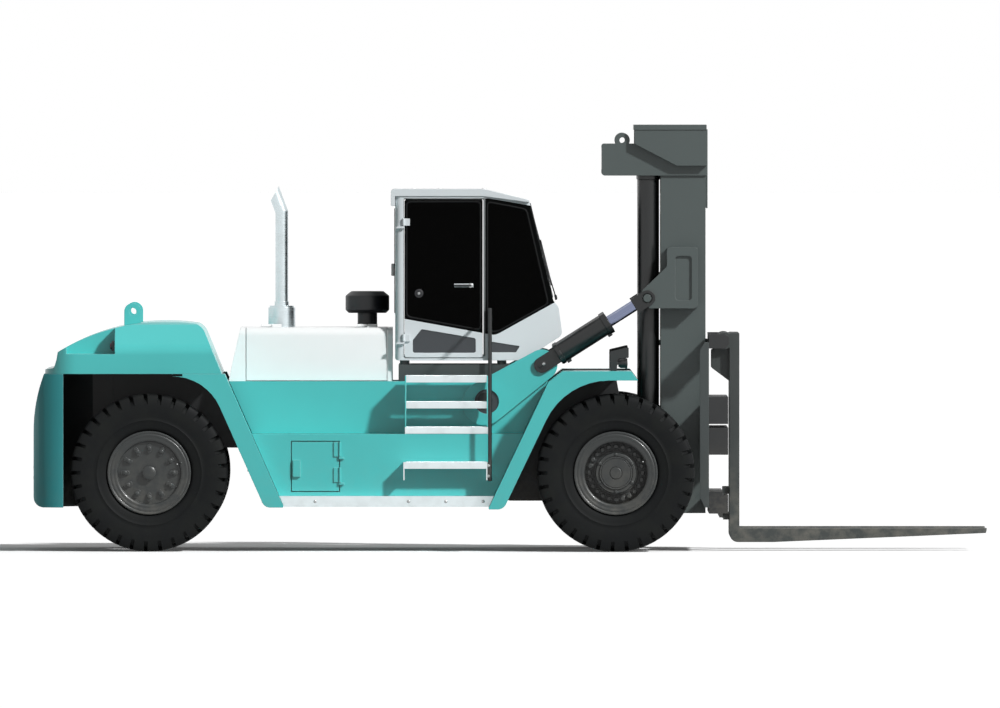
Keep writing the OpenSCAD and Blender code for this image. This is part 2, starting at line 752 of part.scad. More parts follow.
module cab_door_left() {
    color("#eef2f3") {
        difference() {
            intersection() {
                cab_skin(0, 40);
                side(cab_half_w - 50, wide) polygon(rounded(inset(door_outline, door_gap)));
            }
            side(0, wide) polygon(rounded(door_window));
            side(cab_half_w - panel_sink, wide) polygon(rounded(door_field));
        }
        box(-1560, -1375, cab_half_w - glass_inset, cab_half_w + 14, 2545, 2580);
        bar_y(-1900, 2486, cab_half_w - glass_inset, cab_half_w + 12, 36);
        for (z = door_hinge_z) difference() {
            union() {
                translate([door_hinge_x, door_hinge_y, z]) cylinder(h = 70, r = 14);
                box(door_hinge_x + 6, door_hinge_x + 60, cab_half_w - 2, door_hinge_y + 4, z, z + 70);
            }
            translate([door_hinge_x, door_hinge_y, z - 1]) cylinder(h = 72, r = 7 + pin_gap);
        }
    }
}
module cab_door_right() right() cab_door_left();
module cab_door_glass_left() {
    color("#101214") intersection() {
        cab_skin(glass_inset, glass_inset + glass_t);
        side(0, wide) polygon(rounded(inset(door_window, 0.5)));
    }
}
module cab_door_glass_right() right() cab_door_glass_left();
module cab_base() {
    color("#3a4143") {
        both() box(-2098, -1020, 560, 705, deck_z, cab_z0 - 40);
        for (x = [-2090, -1140]) box(x, x + 110, -560, 560, deck_z, cab_z0 - 40);
        both() for (x = [-2040, -1100]) translate([x, 630, cab_z0 - 40]) cylinder(h = 40, r = 45);
    }
}
module cab_interior() {
    floor_z = cab_z0 + cab_wall;
    color("#2b2e30") {
        translate([-1640, 0, floor_z]) {
            box(-230, 230, -230, 230, 0, 330);
            box(-260, 280, -270, 270, 330, 470);
            side(-260, 260) polygon(rounded([
                [-260, 470, 20], [-120, 470, 20], [-230, 1120, 60], [-350, 1120, 60]
            ]));
            both() box(-200, 220, 300, 380, 380, 560);
            both() box(-120, 40, 270, 301, 400, 440);
        }
        side(-260, 260) polygon(rounded([
            [-1000, floor_z, 0], [-935, floor_z, 0], [-700, floor_z + 160, 0], [-690, 2330, 30],
            [-760, 2350, 30], [-960, 2250, 30]
        ]));
        translate([-900, 0, 2220]) rotate([0, -35, 0]) {
            cylinder(h = 250, r = 28);
            translate([0, 0, 240]) rotate_extrude() translate([190, 0]) circle(r = 17, $fn = 24);
            for (a = [0, 120, 240]) rotate([0, 0, a]) translate([-1, -18, 232]) cube([190, 36, 16]);
        }
    }
}

// Lamps on the front fenders and in the counterweight's niches
module lamps() {
    lamp_y = 1255;
    lamp_z = 1812;
    color("#2a2d2f") both() {
        side(lamp_y + 35, lamp_y + 55) polygon(rounded([
            [-54, fender_z, 0], [10, fender_z, 0], [20, 1862, 16], [125, 1868, 10], [125, 1972, 12],
            [-54, 1929, 12]
        ]));
        translate([24, lamp_y, lamp_z]) rotate([0, 90, 0]) rotate_extrude() polygon([
            [0, 0], [30, 0], [44, 24], [44, 66], [50, 66], [50, 88], [44, 88], [44, 80], [0, 80]
        ]);
        box(0, 60, lamp_y + 20, lamp_y + 40, lamp_z - 12, lamp_z + 12);
        box(rear_x + 758, rear_x + 788, 1120, 1360, 1935, 2030);
    }
}

// Axles, knuckles and wheels
module along_y(x, y, z) {
    translate([x, y, z]) rotate([-90, 0, 0]) children();
}
module drive_axle() {
    color("#2a2d2f") both() along_y(0, 0, axle_z) rotate_extrude() polygon(rounded([
        [0, 0, 0], [diff_r, 0, 0], [diff_r, 120, 60], [axle_tube_r + 40, 330, 60], [axle_tube_r, 420, 0],
        [axle_tube_r, 740, 0], [drive_spindle_r, 740, 0], [drive_spindle_r, 1400, 0], [0, 1400, 0]
    ]));
}
module tyre() {
    half = tyre_w / 2;
    seat = rim_seat_w / 2 - 1;
    r = tyre_d / 2;
    notch_r = r - tyre_notch_depth;
    color("#202324") difference() {
        rotate_extrude($fn = 96) polygon(rounded([
            [bead_d / 2 + 0.3, -seat, 0], [rim_d / 2 + 6, -seat, 8], [r - 255, 10 - half, 12],
            [r - 150, -half, 40],
            [notch_r, 4 - half, 0], [r - 14, 34 - half, 0], [r, 84 - half, 0],
            [r, half - 84, 0], [r - 14, half - 34, 0], [notch_r, half - 4, 0], [r - 150, half, 40],
            [r - 255, half - 10, 12], [rim_d / 2 + 6, seat, 8], [bead_d / 2 + 0.3, seat, 0]
        ], 3));
        for (end = [0, 1]) mirror([0, 0, end]) for (i = [0:tyre_lugs - 1]) rotate([0, 0, i * 360 / tyre_lugs])
            translate([notch_r, -tyre_notch_w / 2, half - 62])
                cube([tyre_notch_depth + 10, tyre_notch_w, 80]);
    }
}
// Rim barrel with its two flanges, axis along Z
module rim_barrel() {
    in_r = bead_d / 2 - rim_wall;
    seat = rim_seat_w / 2;
    lip = seat + rim_flange_t;
    rotate_extrude($fn = 96) polygon([
        [in_r, -lip], [rim_d / 2 - 8, -lip], [rim_d / 2, -lip + 8], [rim_d / 2, -seat], [bead_d / 2, -seat],
        [bead_d / 2, seat], [rim_d / 2, seat], [rim_d / 2, lip - 8], [rim_d / 2 - 8, lip],
        [rim_d / 2 - 34, lip],
        [rim_d / 2 - 38, lip - 6], [rim_d / 2 - 44, lip - 6], [rim_d / 2 - 48, lip], [in_r + 10, lip],
        [in_r, lip - 12]
    ]);
}
module steer_rim() {
    in_r = bead_d / 2 - rim_wall;
    face = rim_seat_w / 2 - 20;
    color("#3d4142") {
        rim_barrel();
        difference() {
            union() {
                translate([0, 0, face - 40]) cylinder(h = 40, r = in_r + 2);
                translate([0, 0, -60]) cylinder(h = face + 50, r = steer_spindle_r + 60);
                for (i = [0:steer_bosses - 1]) rotate([0, 0, i * 360 / steer_bosses])
                    translate([steer_boss_ring_r, 0, face - 1]) linear_extrude(26) {
                        square([48, 40], center = true);
                        translate([24, 0]) circle(r = 20, $fn = 24);
                        translate([-24, 0]) circle(r = 20, $fn = 24);
                    }
                cylinder(h = face + 62, r = 60);
            }
            translate([0, 0, -61]) cylinder(h = face + 21, r = steer_spindle_r + pin_gap);
        }
    }
}
// Stepped cover of the planetary hub, with a groove near its edge and a boss in its middle
module planet_cover(seat) {
    step_r = planet_r - 40;
    rotate_extrude($fn = 96) polygon([
        [0, 0], [planet_r, 0], [planet_r, seat - 18], [planet_r - 8, seat - 10], [step_r + 6, seat - 10],
        [step_r + 6, seat - 16], [step_r, seat - 16], [step_r, seat + 6], [step_r - 12, seat + 6],
        [step_r - 12, seat], [step_r - 18, seat], [step_r - 18, seat + 6], [62, seat + 6], [62, seat + 2],
        [56, seat + 2], [56, seat + 12], [50, seat + 16], [0, seat + 16]
    ]);
}
module drive_rims() {
    in_r = bead_d / 2 - rim_wall;
    seat = rim_seat_w / 2;
    pair = tyre_w + dual_gap;
    color("#3d4142") {
        difference() {
            union() {
                rim_barrel();
                translate([0, 0, -pair]) rim_barrel();
                translate([0, 0, -pair - 120]) cylinder(h = pair + 160, r = planet_r + 12);
                translate([0, 0, -20]) cylinder(h = 40, r = in_r + 2);
                translate([0, 0, -pair + 60]) cylinder(h = 40, r = in_r + 2);
                planet_cover(seat);
                for (i = [0:drive_nuts - 1]) rotate([0, 0, i * 360 / drive_nuts])
                    translate([drive_nut_ring_r, 0, 19]) cylinder(h = 45, r = 19, $fn = 16);
            }
            translate([0, 0, -pair - 200]) cylinder(h = pair + 140, r = drive_spindle_r + pin_gap);
        }
    }
}
module drive_rims_left() along_y(0, drive_outer_y, axle_z) drive_rims();
module drive_rims_right() right() drive_rims_left();
module drive_tyres_left() {
    along_y(0, drive_outer_y, axle_z) tyre();
    along_y(0, drive_inner_y, axle_z) tyre();
}
module drive_tyres_right() right() drive_tyres_left();
module steer_rim_left() along_y(steer_x, steer_y, axle_z) steer_rim();
module steer_rim_right() right() steer_rim_left();
module steer_tyre_left() along_y(steer_x, steer_y, axle_z) tyre();
module steer_tyre_right() right() steer_tyre_left();
module steer_axle() {
    lug_z = axle_z + knuckle_h / 2 + 2;
    color("#2a2d2f") difference() {
        union() {
            box(steer_x - beam_half_x, steer_x + beam_half_x, -680, 680,
                axle_z - beam_half_z, axle_z + beam_half_z);
            both() box(steer_x - kingpin_lug_r, steer_x + kingpin_lug_r, 679, kingpin_y - 130,
                       axle_z - beam_half_z, axle_z + beam_half_z);
            both() for (z = [lug_z, 2 * axle_z - lug_z - kingpin_lug_t]) {
                box(steer_x - kingpin_lug_r, steer_x + kingpin_lug_r, kingpin_y - 131, kingpin_y,
                    z, z + kingpin_lug_t);
                translate([steer_x, kingpin_y, z]) cylinder(h = kingpin_lug_t, r = kingpin_lug_r);
            }
        }
        both() translate([steer_x, kingpin_y, 0]) cylinder(h = 2 * axle_z, r = kingpin_r + pin_gap);
        translate([steer_x - 300, 0, axle_z]) rotate([0, 90, 0]) cylinder(h = 600, r = axle_pin_r + pin_gap);
    }
}
module knuckle_left() {
    color("#2a2d2f") {
        translate([steer_x, kingpin_y, axle_z - knuckle_h / 2 - kingpin_lug_t - 20])
            cylinder(h = knuckle_h + 2 * kingpin_lug_t + 40, r = kingpin_r);
        translate([steer_x, kingpin_y, axle_z - knuckle_h / 2]) cylinder(h = knuckle_h, r = kingpin_lug_r);
        along_y(steer_x, kingpin_y, axle_z) cylinder(h = steer_y - kingpin_y - 64, r = steer_spindle_r + 30);
        along_y(steer_x, kingpin_y, axle_z) cylinder(h = steer_y - kingpin_y + 80, r = steer_spindle_r);
    }
}
module knuckle_right() right() knuckle_left();

// Mast
cross_z = [400, 1850, 3250];
tie_z0 = 3624;
tie_z1 = 3932;
tie_x0 = -133;
tie_eye_x = 66;
tie_eye_r = 72;
tie_eye_hole_r = 28;
crosshead_z = 4116;
crosshead_t = 50;
cheek_t = 76;
cheek_z = 3720;
cheek_foot_x = 590;
cap_lip = 8;
cheek_y = mast_half_w + 32;
cap_half_w = cheek_y + cheek_t + cap_lip;
lift_foot_z = 850;
pulley_x = 540;
pulley_z = 3880;
stage_out = mast_half_w - web_t - stage_gap;
stage_web = stage_out - 60;
stage_in = stage_web - 80;
module column_outer() {
    inner = mast_half_w - column_w;
    plan(mast_z0, mast_z1) polygon([
        [mast_x0, inner], [mast_x0 + flange_t, inner], [mast_x0 + flange_t, mast_half_w - web_t],
        [mast_x1 - flange_t, mast_half_w - web_t], [mast_x1 - flange_t, inner], [mast_x1, inner],
        [mast_x1, mast_half_w], [mast_x0, mast_half_w]
    ]);
}
module outer_mast() {
    color("#515a59") {
        both() column_outer();
        both() side(mast_half_w - 62, mast_half_w - 2) union() {
            translate([pivot_x, pivot_z]) circle(r = 100);
            polygon([[pivot_x, pivot_z - 100], [mast_x0 + 10, pivot_z - 200], [mast_x0 + 10, pivot_z + 150],
                     [pivot_x, pivot_z + 100]]);
        }
        both() bar_y(pivot_x, pivot_z, plate_in - 4, mast_half_w - 30, pivot_r);
        both() box(lift_x - 110, mast_x0 + 10, lift_y - 110, mast_half_w, lift_foot_z - 50, lift_foot_z);
        both() side(mast_half_w - 2, mast_half_w + 25) difference() {
            union() {
                polygon(rounded([
                    [tie_x0, tie_z0, 30], [mast_x1 + 10, tie_z0, 0], [mast_x1 + 10, tie_z1, 0],
                    [tie_x0, tie_z1, 25]
                ]));
                translate([tie_eye_x, tie_z1 + 34]) circle(r = tie_eye_r);
            }
            translate([tie_eye_x, tie_z1 + 34]) circle(r = tie_eye_hole_r);
        }
        both() tilt_bracket();
    }
}
// Bracket of a tilt cylinder: an outer plate with a sunk field, on a web and ribs
module tilt_bracket() {
    y0 = tilt_y - arm_t / 2;
    y1 = tilt_y + arm_t / 2;
    bracket_r = 40;
    pocket_t = 26;
    pocket_corner_r = 32;
    difference() {
        side(y0, y1) polygon(rounded([
            [495, 2935, bracket_r], [495, 2745, bracket_r], [252, 2510, 50], [252, 2400, 50], [330, 2341, 30],
            [795, 2341, bracket_r], [795, 2935, bracket_r]
        ]));
        side(y1 - pocket_t, y1 + 1) polygon(rounded([
            [576, 2420, pocket_corner_r], [735, 2420, pocket_corner_r], [735, 2848, pocket_corner_r],
            [576, 2848, pocket_corner_r]
        ]));
    }
    box(500, 540, mast_half_w - 2, y0 + 1, 2350, 2925);
    for (z = [2350, 2617, 2885]) box(500, 790, mast_half_w - 2, y0 + 1, z, z + 40);
    bar_y(tilt_front_x, tilt_front_z, y0 - 50, y1 + 50, tilt_pin_r);
}
// Cross members of the outer stage, with the brackets of the lift chains' fixed ends
module mast_crossbars() {
    inner = mast_half_w - column_w;
    color("#515a59") {
        for (z = cross_z) box(mast_x0, mast_x0 + flange_t, -inner, inner, z, z + 200);
        difference() {
            box(tie_x0, 150, 2 - mast_half_w, mast_half_w - 2, tie_z0 + 60, tie_z1 - 40);
            box(tie_x0 + 20, 130, 1 - mast_half_w, mast_half_w - 1, tie_z0 + 80, tie_z1 - 60);
        }
        both() box(350, mast_x0 + 1, chain_y - 60, chain_y + 60, cross_z[1] + 130, cross_z[1] + 180);
    }
}
module lift_barrels() {
    color("#3c3e40") both() difference() {
        translate([lift_x, lift_y, lift_foot_z]) cylinder(h = tie_z0 - 40 - lift_foot_z, r = lift_barrel_r);
        translate([lift_x, lift_y, lift_foot_z + 60])
            cylinder(h = tie_z0 - 240 - lift_foot_z, r = lift_rod_r + 8);
        translate([lift_x, lift_y, lift_foot_z + 60]) cylinder(h = tie_z0, r = lift_rod_r + pin_gap);
    }
}
module lift_rods() {
    color("#c9cdd0") both() translate([lift_x, lift_y, lift_foot_z + 120])
        cylinder(h = crosshead_z - crosshead_t - lift_foot_z - 120, r = lift_rod_r);
}
stage_x0 = mast_x0 + flange_t + stage_gap;
stage_x1 = mast_x1 - flange_t - stage_gap;
stage_flange_t = 26;
stage_top = crosshead_z - crosshead_t;
module inner_mast() {
    x0 = stage_x0;
    x1 = stage_x1;
    f = stage_flange_t;
    w = stage_web - web_t;
    color("#515a59") both() plan(mast_z0 + 30, stage_top) polygon([
        [x0, stage_in], [x0 + f, stage_in], [x0 + f, w], [x1 - f, w], [x1 - f, stage_in], [x1, stage_in],
        [x1, stage_out], [x1 - f, stage_out], [x1 - f, stage_web], [x0 + f, stage_web], [x0 + f, stage_out],
        [x0, stage_out]
    ]);
}
module inner_crossbars() {
    color("#515a59") for (z = [1000, 2350])
        box(stage_x0, stage_x0 + stage_flange_t, -stage_in, stage_in, z, z + 160);
}
// Crosshead on the inner stage and the lift rods, with its cheeks and the brackets of the chain pulleys
head_x0 = 176;
head_x1 = 880;
pulley_axle_r = 40;
module mast_crosshead() {
    color("#515a59") {
        box(head_x0, head_x1, -cap_half_w, cap_half_w, stage_top, crosshead_z);
        both() side(cheek_y, cheek_y + cheek_t) polygon([
            [head_x0 + cap_lip, crosshead_z - 10], [head_x0 + cap_lip, tie_z1], [cheek_foot_x, cheek_z],
            [head_x1, cheek_z], [head_x1, crosshead_z - 10]
        ]);
        both() box(mast_x1 + 6, mast_x1 + 20, stage_in, stage_out, 3309, stage_top + 5);
        both() {
            for (y = [chain_y - 65, chain_y + 45]) side(y, y + 20) union() {
                translate([pulley_x, pulley_z]) circle(r = 70);
                polygon([[pulley_x - 70, pulley_z], [pulley_x + 70, pulley_z], [pulley_x + 70, stage_top + 5],
                         [pulley_x - 70, stage_top + 5]]);
            }
            bar_y(pulley_x, pulley_z, chain_y - 70, chain_y + 70, pulley_axle_r);
        }
    }
}
module chain_pulleys() {
    groove_r = pulley_r - 6;
    edge_r = pulley_r + 16;
    color("#3f4746") both() along_y(pulley_x, chain_y, pulley_z) rotate_extrude($fn = 96) polygon([
        [pulley_axle_r, -39], [edge_r - 30, -39], [edge_r, -36], [groove_r, -33], [groove_r, 33],
        [edge_r, 36],
        [edge_r - 30, 39], [pulley_axle_r, 39]
    ]);
}
carriage_anchor_z = 1300;
chain_pitch = 50;
chain_t = 40;
// Leaf chains, whose rounded link plates give both edges their scallops
module lift_chains() {
    x = pulley_x + pulley_r + chain_t / 2;
    z0 = carriage_anchor_z + 40;
    links = floor((pulley_z - z0) / chain_pitch);
    color("#4a4d4f") both() side(chain_y - 32, chain_y + 32) intersection() {
        union() {
            translate([x - chain_t * 0.35, z0]) square([chain_t * 0.7, pulley_z - z0]);
            for (i = [0:links]) translate([x, z0 + chain_t / 2 + i * chain_pitch])
                circle(r = chain_t / 2, $fn = 24);
        }
        translate([x - chain_t, z0]) square([2 * chain_t, pulley_z - z0]);
    }
}
// Carriage: roller brackets inside the inner stage, end plates, and the beams that the forks hang on
carriage_plate_y = stage_in - 8;
shaft_x = 1050;
shaft_z = 2030;
module carriage() {
    plate = carriage_plate_y;
    roller_x = (mast_x0 + mast_x1) / 2;
    roller_r = roller_x - (stage_x0 + stage_flange_t) - pin_gap;
    color("#3f4746") {
        both() side(plate - 50, plate) polygon(rounded([
            [roller_x - 90, 430, 60], [carriage_x0, 430, 0], [carriage_x0, 2040, 0],
            [carriage_x0 - 60, 2040, 0],
            [carriage_x0 - 60, 1560, 80], [roller_x + 40, 1500, 60], [roller_x - 90, 1500, 60]
        ]));
        both() for (z = [600, 1330]) bar_y(roller_x, z, plate - 1, stage_web - web_t - move_gap, roller_r);
        box(roller_x - 40, roller_x + 90, -plate, plate, carriage_anchor_z - 60, carriage_anchor_z + 40);
        both() side(carriage_half_w - 40, carriage_half_w) polygon([
            [812, 520], [860, 422], [carriage_x0, 422], [carriage_x0, 2019], [860, 2019], [812, 1940]
        ]);
    }
}
module carriage_beams() {
    half = carriage_half_w;
    color("#3f4746") {
        box(carriage_x0, 960, -half, half, 1974, 2086);
        bar_y(shaft_x, shaft_z, -half, half, fork_shaft_r);
        for (y = [-half, -30, half - 60]) side(y, y + 60) polygon(rounded([
            [carriage_x0, 1956, 0], [shaft_x, 1956, 20], [shaft_x + 45, 2000, 20], [shaft_x + 45, 2070, 20],
            [shaft_x, 2097, 20], [carriage_x0, 2097, 0]
        ]));
        for (z = [931, 1228]) box(carriage_x0, 1085, -half, half, z, z + 261);
        side(-half, half) polygon([
            [carriage_x0, 363], [1001, 363], [1001, 326], [1033, 326], [1033, 364], [1085, 364], [1085, 541],
            [1033, 541], [1033, 577], [carriage_x0, 577]
        ]);
    }
}
module fork() {
    back = fork_face_x - fork_t;
    color("#525755") {
        intersection() {
            side(-fork_w / 2, fork_w / 2) polygon(rounded([
                [back, fork_bottom_z, 80], [back + 420, fork_bottom_z, 0], [fork_tip_x - 10, 169, 10],
                [fork_tip_x, fork_top_z, 8],
                [fork_face_x, fork_top_z, 14], [fork_face_x, 2105, 10], [back, 2105, 10]
            ]));
            plan(-1, wide) polygon(rounded([
                [0, -fork_w / 2, 0], [fork_tip_x - 620, -fork_w / 2, 0], [fork_tip_x, -fork_w / 4, 40],
                [fork_tip_x, fork_w / 4, 40], [fork_tip_x - 620, fork_w / 2, 0], [0, fork_w / 2, 0]
            ]));
        }
        difference() {
            union() {
                bar_y(shaft_x, shaft_z, -fork_w / 2, fork_w / 2, 82);
                box(shaft_x, back + 5, -fork_w / 2, fork_w / 2, 1960, 2100);
                side(-60, 60) polygon([
                    [back + 5, 1632], [930, 1765], [930, 1930], [shaft_x - 60, 1968], [shaft_x, 2000],
                    [back + 5, 2000]
                ]);
            }
            bar_y(shaft_x, shaft_z, -wide, wide, fork_shaft_r + 1);
        }
        for (z = [299, 547]) box(1040, back + 5, -100, 100, z, z + 59);
    }
}
module fork_left() translate([0, fork_y, 0]) fork();
module fork_right() translate([0, -fork_y, 0]) fork();

// Tilt arms on the chassis and the tilt cylinders between arm and mast
module tilt_arms() {
    arm_x = -1272;
    arm_z = 1423;
    rise = atan2(tilt_rear_z - arm_z, tilt_rear_x - arm_x);
    reach = norm([tilt_rear_x - arm_x, tilt_rear_z - arm_z]);
    root_r = 212;
    tip_r = 150;
    lean = asin((root_r - tip_r) / reach);
    face_y = tilt_y + arm_t / 2;
    color("#4fb9b3") both() {
        difference() {
            side(tilt_y - arm_t / 2, face_y) difference() {
                union() {
                    translate([arm_x, arm_z]) circle(r = root_r);
                    translate([tilt_rear_x, tilt_rear_z]) circle(r = tip_r);
                    translate([arm_x, arm_z]) rotate(rise) polygon([
                        [root_r * sin(lean), root_r * cos(lean)], [root_r * sin(lean), -root_r * cos(lean)],
                        [reach + tip_r * sin(lean), -tip_r * cos(lean)],
                        [reach + tip_r * sin(lean), tip_r * cos(lean)]
                    ]);
                }
                translate([tilt_rear_x, tilt_rear_z]) circle(r = tilt_pin_r + pin_gap);
            }
            bar_y(arm_x + 27, arm_z + 19, face_y - 16, face_y + 1, 118);
        }
        bar_y(arm_x, arm_z, panel_half_w, tilt_y - arm_t / 2 + 1, root_r - 30);
        bar_y(arm_x + 12, arm_z + 36, tilt_y, face_y + 8, 72);
    }
}
// Cylinder parts lie along X from the rear eye
module along_tilt() {
    translate([tilt_rear_x, tilt_y, tilt_rear_z]) rotate([0, -tilt_angle, 0]) children();
}
module tilt_barrel_left() {
    cheek = arm_t / 2 + move_gap;
    color("#2e3235") along_tilt() {
        difference() {
            translate([175, 0, 0]) rotate([0, 90, 0]) cylinder(h = 590, r = tilt_barrel_r);
            translate([250, 0, 0]) rotate([0, 90, 0]) cylinder(h = 600, r = tilt_rod_r + 1);
        }
        for (x = [225, 690]) translate([x, -22, -tilt_barrel_r - 24]) cube([44, 44, 60]);
        for (y = [-cheek - 30, cheek]) side(y, y + 30) {
            circle(r = 76);
            translate([0, -76]) square([185, 152]);
        }
        bar_y(0, 0, -cheek - 34, cheek + 34, tilt_pin_r);
    }
}
module tilt_barrel_right() right() tilt_barrel_left();
module tilt_rod_left() {
    cheek = arm_t / 2 + move_gap;
    color("#9a9da7") along_tilt() {
        translate([560, 0, 0]) rotate([0, 90, 0]) cylinder(h = tilt_len - 560 - 140, r = tilt_rod_r);
        translate([tilt_len - 148, -cheek - 30, -76]) cube([36, 2 * cheek + 60, 152]);
        for (y = [-cheek - 30, cheek]) side(y, y + 30) difference() {
            union() {
                translate([tilt_len, 0]) circle(r = 76);
                translate([tilt_len - 130, -76]) square([130, 152]);
            }
            translate([tilt_len, 0]) circle(r = tilt_pin_r + tilt_eye_play);
        }
    }
}
module tilt_rod_right() right() tilt_rod_left();

placed() chassis_frame();
placed() rear_frame();
placed() counterweight_block();
placed() counterweight_cap();
placed() radiator_grille();
placed() lifting_lugs();
placed() rear_fenders();
placed() front_fenders();
placed() side_boxes();
placed() side_panels();
placed() steps();
placed() handrails();
placed() hood_spine();
placed() engine_block();
placed() exhaust_stack();
placed() air_intake();
placed() cab_base();
placed() cab_shell();
placed() cab_glass();
placed() cab_interior();
placed() tilt_arms();
placed() lamps();
placed() drive_axle();
placed() steer_axle();
placed() cab_door_right();
placed() cab_door_glass_right();
placed() cab_door_left();
placed() cab_door_glass_left();
placed() service_door();
placed() hood_lid_right();
placed() hood_lid_left();
placed() knuckle_right();
placed() knuckle_left();
placed() steer_rim_right();
placed() steer_tyre_right();
placed() steer_rim_left();
placed() steer_tyre_left();
placed() drive_rims_right();
placed() drive_tyres_right();
placed() drive_rims_left();
placed() drive_tyres_left();
placed() outer_mast();
placed() mast_crossbars();
placed() lift_barrels();
placed() inner_mast();
placed() inner_crossbars();
placed() mast_crosshead();
placed() chain_pulleys();
placed() lift_rods();
placed() lift_chains();
placed() carriage();
placed() carriage_beams();
placed() fork_right();
placed() fork_left();
placed() tilt_barrel_right();
placed() tilt_rod_right();
placed() tilt_barrel_left();
placed() tilt_rod_left();
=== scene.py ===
"""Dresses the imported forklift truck: finishes, tyres, chains, cab trim, hardware, studio and camera."""

import json
import logging
import math
from collections.abc import Callable, Sequence
from dataclasses import dataclass, field
from enum import Enum

import bmesh
import bpy
import numpy as np
from mathutils import Matrix, Vector

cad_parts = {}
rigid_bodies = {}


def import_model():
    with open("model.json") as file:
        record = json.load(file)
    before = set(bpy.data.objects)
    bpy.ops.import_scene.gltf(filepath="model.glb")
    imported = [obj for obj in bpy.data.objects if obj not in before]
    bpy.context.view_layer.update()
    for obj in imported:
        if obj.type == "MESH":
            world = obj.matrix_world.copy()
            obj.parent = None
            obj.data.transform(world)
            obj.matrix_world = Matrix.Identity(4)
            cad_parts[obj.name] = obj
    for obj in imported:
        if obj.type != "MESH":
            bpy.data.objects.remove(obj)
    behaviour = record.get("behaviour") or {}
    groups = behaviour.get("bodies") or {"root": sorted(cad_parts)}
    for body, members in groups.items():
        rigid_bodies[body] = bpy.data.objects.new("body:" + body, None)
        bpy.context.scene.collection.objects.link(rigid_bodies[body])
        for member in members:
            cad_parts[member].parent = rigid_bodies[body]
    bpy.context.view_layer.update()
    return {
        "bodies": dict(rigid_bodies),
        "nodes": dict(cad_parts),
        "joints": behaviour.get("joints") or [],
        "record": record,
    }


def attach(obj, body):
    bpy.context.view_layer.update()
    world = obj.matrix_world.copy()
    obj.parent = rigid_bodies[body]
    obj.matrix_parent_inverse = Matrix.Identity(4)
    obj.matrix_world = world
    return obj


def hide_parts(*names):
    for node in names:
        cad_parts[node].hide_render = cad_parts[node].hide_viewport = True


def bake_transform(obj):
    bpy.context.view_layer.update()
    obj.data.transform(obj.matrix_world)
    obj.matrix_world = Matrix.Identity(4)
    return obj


LOG = logging.getLogger("forklift")
MM = 0.001
# The drive axle: its place in the shared frame, in metres, and its height in the drawing's millimetres
AXLE_X = 1.014
AXLE_Z = 760
# Half width of the cab, where its sides start to taper towards the front, and by how much
CAB_HALF_W = 740
TAPER_X = -1262
TAPER = 90 / 782
# Rear and front eye of the tilt cylinders, in X and Z
TILT_EYES = ((-712, 1795), (306, 2441))
# Half the distance between the tilt cylinders' middles
TILT_Y = 860


class Side(Enum):
    """The truck's two sides, as the sign of Y."""

    LEFT = 1
    RIGHT = -1

    @property
    def word(self) -> str:
        """The ending of this side's node and body names."""
        return self.name.lower()


def linear(hex_colour: str) -> tuple[float, float, float, float]:
    """Turns an sRGB hex colour to linear light.

    Args:
        hex_colour: A colour such as "#54c3c2".

    Returns:
        Red, green, blue and alpha.
    """
    parts = [int(hex_colour[i : i + 2], 16) / 255 for i in (1, 3, 5)]
    light = [p / 12.92 if p <= 0.04045 else ((p + 0.055) / 1.055) ** 2.4 for p in parts]
    return (light[0], light[1], light[2], 1.0)


def skin_y(x: float) -> float:
    """Half width of the cab's skin at a place along the truck."""
    return CAB_HALF_W - max(0.0, x - TAPER_X) * TAPER


def per_metre(size_mm: float) -> float:
    """The texture scale at which one feature of a pattern measures size_mm."""
    return 1000 / size_mm


def add_node(
    tree: bpy.types.NodeTree,
    kind: str,
    settings: dict[str | int, object] | None = None,
    links: dict[str | int, bpy.types.NodeSocket] | None = None,
) -> bpy.types.Node:
    """Adds one node to a tree.

    Args:
        tree: The tree that gets the node.
        kind: The node's type name.
        settings: Properties of the node, or values of its inputs by name or number.
        links: Outputs of other nodes, by the name or number of the input they feed.

    Returns:
        The new node.
    """
    node = tree.nodes.new(kind)
    for key, value in (settings or {}).items():
        if isinstance(key, int) or (key in node.inputs and not hasattr(node, key)):
            node.inputs[key].default_value = value
        else:
            setattr(node, key, value)
    for key, socket in (links or {}).items():
        tree.links.new(node.inputs[key], socket)
    return node


@dataclass(frozen=True)
class Finish:
    """What every finish has: a name, a main colour and a roughness."""

    name: str
    colour: str
    roughness: float

    def start(self, **sockets: object) -> tuple[bpy.types.Material, bpy.types.NodeTree, bpy.types.Node]:
        """Makes the material with its shader and output.

        Args:
            sockets: Values of the shader's inputs, with underscores for spaces.

        Returns:
            The material, its node tree and its shader node.
        """
        material = bpy.data.materials.new(self.name)
        material.use_nodes = True
        material.diffuse_color = linear(self.colour)
        tree = material.node_tree
        tree.nodes.clear()
        values = {"Base Color": linear(self.colour), "Roughness": self.roughness}
        values.update({key.replace("_", " "): value for key, value in sockets.items()})
        shader = add_node(tree, "ShaderNodeBsdfPrincipled", values)
        add_node(tree, "ShaderNodeOutputMaterial", links={"Surface": shader.outputs[0]})
        return material, tree, shader


